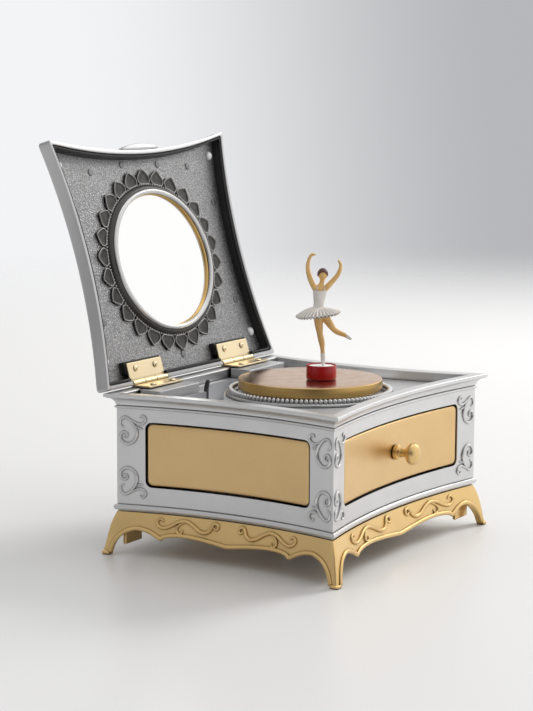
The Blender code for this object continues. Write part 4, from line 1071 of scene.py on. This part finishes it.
# The bodice from the neckline down, as (x, height, half width, half depth)
BODICE = [(-0.95, 35.3, 3.2, 2.35), (-1.0, 33.6, 3.1, 2.4), (-1.2, 31.2, 2.75, 2.1), (-1.4, 29.0, 2.4, 1.8),
          (-1.5, 27.8, 2.45, 1.9), (-1.6, 27.0, 2.9, 2.4)]
WAIST = (-1.6, 27.2, 2.1)       # where the tutu starts: x, height and radius
TUTU_LAYERS = ((10.2, 0.0, 0.0), (9.4, -0.55, 0.5))     # radius, drop, and shift of the folds
TUTU_RINGS = 14
FOLDS = 34


def make_dress():
    """A pleated bodice with straps and a tutu whose pleats deepen towards its edge."""
    dress = bmesh.new()
    rows = []
    for x, z, wide, deep in smooth_path(BODICE, 4):
        row = []
        for angle in around(160):
            pleat = 1.0 + 0.018 * math.cos(26.0 * angle)
            heart = 0.55 * math.sin(angle) ** 2 * max(0.0, (z - 34.2) / 1.1)
            row.append((x + wide * pleat * math.cos(angle), deep * pleat * math.sin(angle), z - heart))
        rows.append(row)
    skin(dress, rows)

    waist_x, waist_z, waist_radius = WAIST
    outwards = [i / TUTU_RINGS for i in range(TUTU_RINGS + 1)]
    for reach, drop, phase in TUTU_LAYERS:
        rows = []
        for t, under in [(t, 0.0) for t in outwards] + [(t, 0.22) for t in reversed(outwards)]:
            radius = waist_radius + (reach - waist_radius) * t
            row = []
            for angle in around(320):
                wave = math.cos(FOLDS * angle + phase * math.pi)
                lobe = radius * (1.0 + 0.035 * t * wave)
                height = waist_z - 1.4 * t - 2.0 * t * t + drop + 0.42 * t * wave - under
                tilt = 0.125 * radius * math.cos(angle) * t
                row.append((waist_x + lobe * math.cos(angle), lobe * math.sin(angle), height + tilt))
            rows.append(row)
        skin(dress, rows, closed_along=True)
    figure_piece("figure_dress", dress, DRESS, 75.0)

    straps = bmesh.new()
    for x0, x1 in ((-2.6, -2.2), (0.9, 1.0)):
        strap = smooth_path([(x0, -1.7, 35.0), (x1, -1.35, 36.4), (x1, 0.0, 37.0), (x1, 1.3, 36.2),
                             (x0, 1.75, 34.9)], 4)
        tube(straps, strap, [0.22] * len(strap), [(1.0, 0.0, 0.0)] * len(strap), 1.0, 6)
    figure_piece("figure_straps", straps, DRESS)


# ---------------------------------------------------------------- lid

LID_HALF_Y = (LID_BACK - LID_FRONT) / 2.0
LID_MIDDLE_Y = (LID_BACK + LID_FRONT) / 2.0
LID_ROUND = 1.9                 # radius of the shell's upper edge
LINER_INSET = WALL + 0.3
STUDS = ((-63.5, -104.0), (63.5, -104.0), (-63.5, -12.5), (63.5, -12.5))
STUD_DOME = [(0.0, -1.3), (0.7, -1.22), (1.4, -0.95), (1.9, -0.5), (2.15, 0.0), (2.2, 0.25), (0.0, 0.25)]
MARKS = ((-40.0, -100.0), (-14.0, -102.5), (16.0, -101.5), (42.0, -99.5), (-41.0, -9.5), (0.0, -8.6),
         (57.0, -30.0), (58.0, -80.0), (-57.0, -30.0), (-58.0, -80.0))


def lid_plan(offset, corner=1.6):
    """The lid's plan, of the same kind as the case's."""
    return plan(offset, corner, LID_HALF_X, LID_HALF_Y, LID_MIDDLE_Y)


def hinge_span(side):
    """Where a hinge starts and ends along x."""
    centre = side * HINGE_X
    return centre - HINGE_LENGTH / 2.0, centre + HINGE_LENGTH / 2.0


def hinge_notches(front):
    """Tools that make room for the hinges in the lid's rear edge, as far as front."""
    spans = [hinge_span(side) for side in (-1, 1)]
    return [tool("notch", prism(rounded_box(low - 0.6, front, high + 0.6, 4.0, 0.3), -3.0, 2.0), LID)
            for low, high in spans]


def make_lid():
    """The lid's silver shell, and what is fixed to it."""
    section = [(-WALL, LID_TOP - 1.0), (-WALL, LID_RIM + 0.3), (-WALL + 0.3, LID_RIM), (-0.4, LID_RIM),
               (-0.1, LID_RIM + 0.1), (0.0, LID_RIM + 0.4)]
    section += [(-LID_ROUND * (1.0 - math.cos(a)), LID_TOP - LID_ROUND + LID_ROUND * math.sin(a))
                for a in arc(0.0, 90.0, 6)]
    rings = [(lid_plan(offset), z) for offset, z in section]
    shell = piece("lid_case", loft(rings, capped=True), LID_SILVER, "lid", LID)
    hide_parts("lid_shell")
    cut(shell, *hinge_notches(-3.9))
    make_liner()
    make_tab()


def make_liner():
    """The dark walls inside the lid, the pebbled field, the hinge pads, the marks and the studs."""
    section = [(0.0, LID_TOP - 1.3), (0.0, LID_RIM + 0.9), (0.3, LID_RIM + 0.5), (0.9, LID_RIM + 0.5),
               (1.2, LID_RIM + 0.9), (1.2, 0.6), (1.0, 0.8), (1.0, 1.1), (1.2, 1.3),
               (1.5, LINER_FACE + 0.2), (3.0, LINER_FACE + 0.4), (3.0, LID_TOP - 1.3)]
    wall = [(lid_plan(-LINER_INSET - inwards), z) for inwards, z in section]
    sides = piece("liner_walls", loft(wall), DARK, "lid", LID)
    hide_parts("lid_liner")
    cut(sides, *hinge_notches(-4.6))

    field = bmesh.new()
    steps_x, steps_y = 110, 88
    hx, hy = LID_HALF_X - LINER_INSET - 1.4, LID_HALF_Y - LINER_INSET - 1.4
    rows = []
    for j in range(steps_y + 1):
        v = 2.0 * j / steps_y - 1.0
        row = []
        for i in range(steps_x + 1):
            u = 2.0 * i / steps_x - 1.0
            x = u * arc_side(hy, hx, SIDE_SAG, v * hy)
            front = arc_side(hx, hy, FRONT_SAG, u * hx)
            y = LID_MIDDLE_Y + (v * hy if v > 0 else v * front)
            rough = noise.noise(Vector((x * 0.9, y * 0.9, 0.0)))
            row.append((x, y, LINER_FACE + 0.05 + 0.06 * rough))
        rows.append(row)
    skin(field, rows, closed_across=False)
    bmesh.ops.solidify(field, geom=field.faces, thickness=-0.3)
    piece("liner_field", field, LINER, "lid", LID, crease=60.0)

    pads = bmesh.new()
    for side in (-1, 1):
        low, high = hinge_span(side)
        add(pads, slab(rounded_box(low - 0.6, -10.6, high + 0.6, -4.6, 0.5), 1.6, LINER_FACE + 0.4, 0.2))
    piece("lid_hinge_pads", pads, GUNMETAL, "lid", LID)

    dimples = bmesh.new()
    mark = [(0.0, LINER_FACE - 0.34), (1.3, LINER_FACE - 0.36), (1.7, LINER_FACE - 0.3),
            (1.8, LINER_FACE + 0.2), (0.0, LINER_FACE + 0.2)]
    for place in MARKS:
        lathe(dimples, mark, 24, place)
    piece("ejector_marks", dimples, MARK, "lid", LID, crease=60.0)

    for index, (x, y) in enumerate(STUDS, start=1):
        place = LID @ Matrix.Translation((x * MM, y * MM, (LINER_FACE - 0.3) * MM))
        stud = turned("stud_%d" % index, STUD_DOME, TRAY_WHITE, "lid", place, steps=28)
        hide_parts("liner_stud_%d" % index)


def make_tab():
    """The half-round lift tab at the lid's front edge."""
    tab_y = LID_FRONT + FRONT_SAG
    rim = [(15.0 * math.cos(a), tab_y - 0.75 + 2.8 * math.sin(a)) for a in arc(180.0, 360.0, 36)]
    base = [(x, tab_y - 0.3 - FRONT_SAG * (x / LID_HALF_X) ** 2) for x in (12.0, 6.0, 0.0, -6.0, -12.0)]
    made = piece("tab", slab(rim + base, 0.4, LID_TOP - 1.8, 0.6), LID_SILVER, "lid", LID)
    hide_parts("lift_tab")


# The mirror's ovals, all round one middle, by their half sizes
PETAL_FOOT = Vector((44.2, 37.8))
PETAL_TIP = Vector((50.8, 44.6))
BEAD_OVAL = Vector((43.5, 36.95))
RING_OVAL = Vector((43.0, 36.6))
BEZEL_OVAL = Vector((37.9, 33.3))
GLASS_OVAL = Vector((37.4, 32.9))
MIRROR_BACK = LINER_FACE - 0.3
PETALS = 26
WREATH_BEADS = 150

# One side of a petal, as (share of its room round the oval, reach outwards), and its hollow
PETAL_HALF = [(-0.33, -0.06), (-0.44, 0.20), (-0.40, 0.44), (-0.22, 0.74), (0.0, 1.0)]
PETAL_HOLLOW = ((1.0, 0.25), (0.8, 0.1), (0.5, 0.02), (0.2, 0.06))


def oval_point(half_sizes, angle, height):
    """A point of an oval round the mirror's middle, at a height in front of its back."""
    return (half_sizes[0] * math.cos(angle), MIRROR_Y + half_sizes[1] * math.sin(angle),
            MIRROR_BACK - height)


def oval_frame(shape, outer, inward, section):
    """A frame round the mirror: section is (distance inwards, height) from the outer oval."""
    rows = [[oval_point(outer + inward * inset, angle, height) for inset, height in section]
            for angle in around(128)]
    skin(shape, rows, closed_along=True)


def make_wreath():
    """The petals round the mirror with their raised rims, and the beads inside them."""
    hollows = bmesh.new()
    edges = bmesh.new()
    outline = smooth_path(PETAL_HALF, 3)
    outline += smooth_path([(-s, r) for s, r in reversed(PETAL_HALF)], 3)[1:]
    for k in range(PETALS):

        def line(scale, height):
            """The petal's outline, shrunk towards its middle."""
            return [oval_point(PETAL_FOOT.lerp(PETAL_TIP, 0.42 + (r - 0.42) * scale),
                               2.0 * math.pi * (k + 0.5 + s * scale) / PETALS, 0.25 + height)
                    for s, r in outline]

        path = line(1.0, 0.25)
        tube(edges, path, [0.36] * len(path), [(0.0, 0.0, 1.0)] * len(path), 1.1, 8, closed=True)
        rows = [line(1.0, -0.25)] + [line(scale, deep) for scale, deep in PETAL_HOLLOW]
        skin(hollows, rows, capped=True)
    wreath = piece("petals", hollows, PETAL, "lid", LID, crease=50.0)
    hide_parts("mirror_wreath")
    piece("petal_rims", edges, PETAL_EDGE, "lid", LID, crease=60.0)

    beads = bmesh.new()
    for angle in around(WREATH_BEADS):
        ball(beads, oval_point(BEAD_OVAL, angle, 0.35), (0.72, 0.72, 0.6), detail=(8, 6))
    piece("wreath_beads", beads, PETAL_EDGE, "lid", LID, crease=60.0)


def make_mirror():
    """The gunmetal ring with its silver bead, the gold bezel and the glass."""
    ring = bmesh.new()
    section = [(0.0, 0.0), (0.05, 0.7), (0.4, 1.3), (1.0, 1.7), (1.8, 2.0), (2.6, 2.1)]
    bead = [(4.2 - 1.5 * math.cos(a), 2.1 + math.sin(a)) for a in arc(0.0, 180.0, 12)[1:-1]]
    silver = range(len(section), len(section) + len(bead))
    section += bead + [(5.7, 2.0), (5.9, 0.7), (3.0, 0.7), (3.0, 0.0)]
    oval_frame(ring, RING_OVAL, Vector((-1.0, -0.76)), section)
    made = piece("mirror_ring", ring, GUNMETAL, "lid", LID, crease=40.0, others=(RIM_SILVER,))
    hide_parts("mirror_frame")
    for index, face in enumerate(made.data.polygons):
        face.material_index = 1 if index % len(section) in silver else 0

    bezel = bmesh.new()
    section = [(0.9, 0.62), (0.9, 1.7), (1.1, 1.75), (1.7, 1.35), (2.2, 0.8), (2.3, 0.62)]
    oval_frame(bezel, BEZEL_OVAL, Vector((-1.0, -0.72)), section)
    made = piece("bezel", bezel, BEZEL_GOLD, "lid", LID, crease=50.0)
    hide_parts("mirror_bezel")

    glass = bmesh.new()
    rows = [[oval_point(GLASS_OVAL * scale, angle, height) for angle in around(96)]
            for scale, height in ((1.0, 0.0), (1.0, 0.5), (0.995, 0.6), (0.6, 0.6), (0.2, 0.6))]
    skin(glass, rows, capped=True)
    made = piece("mirror", glass, MIRROR, "lid", LID, crease=20.0)
    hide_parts("mirror_glass")


# ---------------------------------------------------------------- hinges

LID_LEAF_EDGE = -9.6            # how far the leaves reach from the hinge axis
CASE_LEAF_EDGE = -9.9
SCREW_SPREAD = 8.0              # from a hinge's middle to its screws
KNUCKLE = 1.4                   # radius of a hinge's barrel
KNUCKLE_GAP = 0.15              # half the gap between two knuckles, and their chamfer
SCREW = [(0.0, 0.60), (0.5, 0.56), (0.95, 0.42), (1.3, 0.2), (1.5, 0.0), (1.5, -0.12), (0.6, -0.12),
         (0.6, -2.2), (0.0, -2.2)]


def make_hinges():
    """Two butt hinges: two leaves each, with their knuckles, pin and screws."""
    third = HINGE_LENGTH / 3.0
    for side, word in ((-1, "left"), (1, "right")):
        low, high = hinge_span(side)
        knuckles = (low + third, high - third)
        lid_leaf = bmesh.new()
        leaf(lid_leaf, low, high, LID_LEAF_EDGE, 1)
        knuckle(lid_leaf, knuckles[0] + KNUCKLE_GAP, knuckles[1] - KNUCKLE_GAP)
        made = piece("lid_leaf_" + word, lid_leaf, BRASS, "lid", LID)
        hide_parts("hinge_lid_leaf_" + word)
        case_leaf = bmesh.new()
        leaf(case_leaf, low, high, CASE_LEAF_EDGE, -1)
        knuckle(case_leaf, low, knuckles[0] - KNUCKLE_GAP)
        knuckle(case_leaf, knuckles[1] + KNUCKLE_GAP, high)
        made = piece("case_leaf_" + word, case_leaf, BRASS, "case", HINGED)
        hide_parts("hinge_case_leaf_" + word)
        pin = bmesh.new()
        centre = ((low + high) / 2.0, 0.0, 0.0)
        length = HINGE_LENGTH + 0.5
        bmesh.ops.create_cone(pin, cap_ends=True, segments=20, radius1=0.45, radius2=0.45, depth=length,
                              matrix=Matrix.Translation(centre) @ Matrix.Rotation(math.pi / 2.0, 4, "Y"))
        for end in (-1, 1):
            ball(pin, (centre[0] + end * length / 2.0, 0.0, 0.0), (0.3, 0.72, 0.72), detail=(16, 10))
        made = piece("pin_" + word, pin, BRASS, "case", HINGED)
        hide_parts("hinge_pin_" + word)
        for index, shift in ((1, -SCREW_SPREAD), (2, SCREW_SPREAD)):
            x = side * HINGE_X + shift
            screw("lid_screw_%s_%d" % (word, index), x, -6.6, 0.2, True, LID, "lid")
            screw("case_screw_%s_%d" % (word, index), x, -7.6, -0.2, False, HINGED, "case")


def leaf(shape, low, high, reach, flip):
    """A hinge's plate, above the hinge axis or, flipped, below it."""
    z0, z1 = sorted((0.5 * flip, 1.35 * flip))
    add(shape, slab(rounded_box(low, reach, high, -1.2, 0.7), z0, z1, 0.18))


def knuckle(shape, low, high):
    """A chamfered piece of a hinge's barrel."""
    ends = ((low, KNUCKLE - KNUCKLE_GAP), (low + KNUCKLE_GAP, KNUCKLE), (high - KNUCKLE_GAP, KNUCKLE),
            (high, KNUCKLE - KNUCKLE_GAP))
    skin(shape, [[(x, r * math.cos(a), r * math.sin(a)) for a in around(28)] for x, r in ends], capped=True)


def screw(node, x, y, z, turned_over, place, body):
    """A domed screw with a slot."""
    turn = Matrix.Rotation(math.pi if turned_over else 0.0, 4, "X")
    at = place @ Matrix.Translation((x * MM, y * MM, z * MM)) @ turn
    made = turned("head_" + node, SCREW, BRASS, body, at, steps=28)
    slot_shape = prism([(-1.6, -0.16), (1.6, -0.16), (1.6, 0.16), (-1.6, 0.16)], 0.28, 1.2)
    cut(made, tool("slot", slot_shape, at @ Matrix.Rotation(math.radians(25.0), 4, "Z")))
    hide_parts(node)


# ---------------------------------------------------------------- lever, and the parts kept

LEVER_X, LEVER_Y = -13.0, 44.4
LEVER_FINGER = [(-1.2, 2.4), (-1.2, 24.0), (-1.1, 28.0), (-0.4, 31.0), (1.2, 33.2), (2.0, 32.0),
                (1.2, 29.0), (1.2, 24.0), (1.2, 2.4)]
LEVER_ARM = [(LEVER_X, LEVER_Y), (14.0, 19.0), (42.7, AXIS_Y + 3.0), (44.7, AXIS_Y)]
ARM_HEIGHT = 3.8                # above the finger's foot


def make_lever():
    """The stop lever's curved finger, which stands up in the rear pocket, and its arm."""
    finger = smooth_path(LEVER_FINGER, 5)
    foot = node_box("stop_lever")[1].z - max(z for _, z in finger)
    shape = slab(finger, -0.8, 0.8, 0.25)
    place = CASE @ Matrix.Translation((LEVER_X * MM, LEVER_Y * MM, foot * MM))
    place = place @ Matrix.Rotation(math.pi / 2.0, 4, "X")
    made = piece("lever_finger", shape, BLACK, "stop_lever", place)
    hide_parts("stop_lever")
    arm = bmesh.new()
    path = smooth_path([(x, y, foot + ARM_HEIGHT) for x, y in LEVER_ARM], 6)
    tube(arm, path, [0.8] * len(path), [(0.0, 0.0, 1.0)] * len(path), 1.0, 12)
    piece("lever_arm", arm, BLACK, "stop_lever", crease=60.0)


# CAD nodes that stay as they are, inside the case or under it
KEPT = (
    (STEEL, ("bottom_plate", "base_screw_1", "base_screw_2", "base_screw_3", "base_screw_4",
             "drawer_housing", "knob_nut", "drive_spindle", "disc_magnet", "mainspring", "tone_comb",
             "comb_screw_1", "comb_screw_2", "governor_fly", "winding_key")),
    (BRASS, ("spring_barrel", "movement_bedplate", "pin_cylinder", "governor_frame")),
    (TRAY, ("drawer_tray",)),
)


def dress_kept_nodes():
    """Give the kept CAD nodes their materials."""
    for material, names in KEPT:
        for name in names:
            materials = frame["nodes"][name].data.materials
            materials.clear()
            materials.append(material)


# ---------------------------------------------------------------- studio

KEY_LIGHT = Vector((0.80, -0.50, 0.34)).normalized()
SHADE_SIDE = Vector((0.515, -0.857, 0.10)).normalized()
DARK_SIDE = Vector((-0.86, -0.50, 0.08)).normalized()
SKY = Vector((-0.35, 0.25, 0.90)).normalized()
FLOOR_SOLID = 0.55              # metres from the middle where the floor starts to fade
FLOOR_END = 1.60


def graded(tree, facing, low, high, dark, light):
    """A colour that goes from dark to light as the world is seen towards a direction."""
    place = tree.nodes.new("ShaderNodeTexCoord")
    dot = tree.nodes.new("ShaderNodeVectorMath")
    dot.operation = "DOT_PRODUCT"
    dot.inputs[1].default_value = facing
    tree.links.new(place.outputs["Generated"], dot.inputs[0])
    tones = tree.nodes.new("ShaderNodeMix")
    tones.data_type = "RGBA"
    tones.inputs["A"].default_value = (*dark, 1.0)
    tones.inputs["B"].default_value = (*light, 1.0)
    share = mapped(tree, dot.outputs["Value"], (low, high), (0.0, 1.0), smooth=True)
    tree.links.new(share, tones.inputs["Factor"])
    return tones.outputs["Result"]


def make_world():
    """Soft light that comes mostly from the right, and a backdrop that shades off to the right."""
    world = bpy.data.worlds.new("studio")
    bpy.context.scene.world = world
    world.use_nodes = True
    tree = world.node_tree
    lighting = tree.nodes["Background"]
    key = graded(tree, KEY_LIGHT, -0.3, 0.95, (0.39, 0.39, 0.395), (1.04, 1.03, 1.02))
    shade = graded(tree, DARK_SIDE, 0.80, 0.98, (1.0, 1.0, 1.0), (0.2, 0.2, 0.2))
    glow = graded(tree, SKY, 0.25, 0.85, (0.0, 0.0, 0.0), (0.16, 0.16, 0.16))
    light = mixed(tree, "ADD", mixed(tree, "MULTIPLY", key, shade), glow)
    tree.links.new(light, lighting.inputs["Color"])
    backdrop = tree.nodes.new("ShaderNodeBackground")
    tree.links.new(graded(tree, SHADE_SIDE, -0.10, 0.12, (0.90, 0.905, 0.92), (0.47, 0.475, 0.49)),
                   backdrop.inputs["Color"])
    path = tree.nodes.new("ShaderNodeLightPath")
    both = tree.nodes.new("ShaderNodeMixShader")
    tree.links.new(path.outputs["Is Camera Ray"], both.inputs["Fac"])
    tree.links.new(lighting.outputs["Background"], both.inputs[1])
    tree.links.new(backdrop.outputs["Background"], both.inputs[2])
    tree.links.new(both.outputs["Shader"], tree.nodes["World Output"].inputs["Surface"])


def make_floor():
    """A pale, slightly glossy floor that fades into the backdrop."""
    floor = bmesh.new()
    bmesh.ops.create_circle(floor, cap_ends=True, segments=96, radius=FLOOR_END)
    mesh = bpy.data.meshes.new("floor")
    floor.to_mesh(mesh)
    floor.free()
    made, tree, shader = new_material("studio_floor", (0.75, 0.75, 0.75), 0.0, 0.35)
    space = texture_space(tree, UNSTRETCHED)
    uneven(tree, noise_at(tree, space, 3.0), shader, 0.35, 0.03)
    shader.inputs["Specular IOR Level"].default_value = 0.25
    distance = tree.nodes.new("ShaderNodeVectorMath")
    distance.operation = "LENGTH"
    tree.links.new(space, distance.inputs[0])
    fade = mapped(tree, distance.outputs["Value"], (FLOOR_SOLID, FLOOR_END), (1.0, 0.0), smooth=True)
    tree.links.new(fade, shader.inputs["Alpha"])
    mesh.materials.append(made)
    ground = linked("floor", mesh)


# Lamps: name, place, size, power, colour, and whether they show in glossy reflections.  The
# strongest one shades the floor but stays out of the metal.
LAMPS = (("overhead", (0.5, 0.1, 1.9), 1.2, 3.0, (1.0, 1.0, 1.0), True),
         ("sparkle", (1.7, -0.5, 1.1), 0.9, 5.0, (1.0, 0.99, 0.97), True),
         ("right", (1.7, -0.5, 1.1), 0.9, 22.0, (1.0, 0.99, 0.97), False))
LAMP_AIM = Vector((0.0, 0.0, 0.08))


def make_lights():
    """Round soft lamps, aimed at the case."""
    for name, place, size, power, tint, shows in LAMPS:
        data = bpy.data.lights.new(name, "AREA")
        data.shape = "DISK"
        data.size = size
        data.energy = power
        data.color = tint
        lamp = linked(name, data)
        lamp.location = place
        lamp.visible_glossy = shows
        lamp.rotation_euler = (LAMP_AIM - Vector(place)).to_track_quat("-Z", "Y").to_euler()


EYE = Vector((-0.8184, -0.4694, 0.2211))        # the camera's place from the case's middle
YAW, PITCH, ROLL = 59.16, 8.11, 0.30            # degrees: right of +Y, down, and anticlockwise
LENS = 104.0
SENSOR = 36.0


def make_camera():
    """The camera of the perspective fit: a long lens, a little above the case."""
    data = bpy.data.cameras.new("camera")
    data.sensor_fit = "VERTICAL"
    data.sensor_height = SENSOR
    data.sensor_width = SENSOR
    data.lens = LENS
    data.clip_start = 0.01
    data.clip_end = 50.0
    camera = linked("camera", data)
    yaw, pitch, roll = math.radians(YAW), math.radians(PITCH), math.radians(ROLL)
    forward = Vector((math.sin(yaw) * math.cos(pitch), math.cos(yaw) * math.cos(pitch), -math.sin(pitch)))
    right = Vector((math.cos(yaw), -math.sin(yaw), 0.0))
    level = Matrix((right, right.cross(forward), -forward)).transposed()
    turn = (level @ Matrix.Rotation(roll, 3, "Z")).to_4x4()
    camera.matrix_world = Matrix.Translation((EYE.x, EYE.y + CASE_Y * MM, EYE.z)) @ turn
    bpy.context.scene.camera = camera
    bpy.context.scene.view_settings.view_transform = "Standard"


def main():
    make_camera()
    make_world()
    make_floor()
    make_lights()
    make_stand()
    make_case()
    make_panel("panel_left", "left", PANEL_HALF, "case", "side_panel_left")
    make_panel("panel_right", "right", PANEL_HALF, "case", "side_panel_right")
    make_panel("panel_back", "back", DRAWER_HALF, "case", "back_panel")
    make_drawer()
    make_tray()
    make_turntable()
    make_figure()
    make_hair()
    make_dress()
    make_lid()
    make_wreath()
    make_mirror()
    make_hinges()
    make_lever()
    dress_kept_nodes()


main()
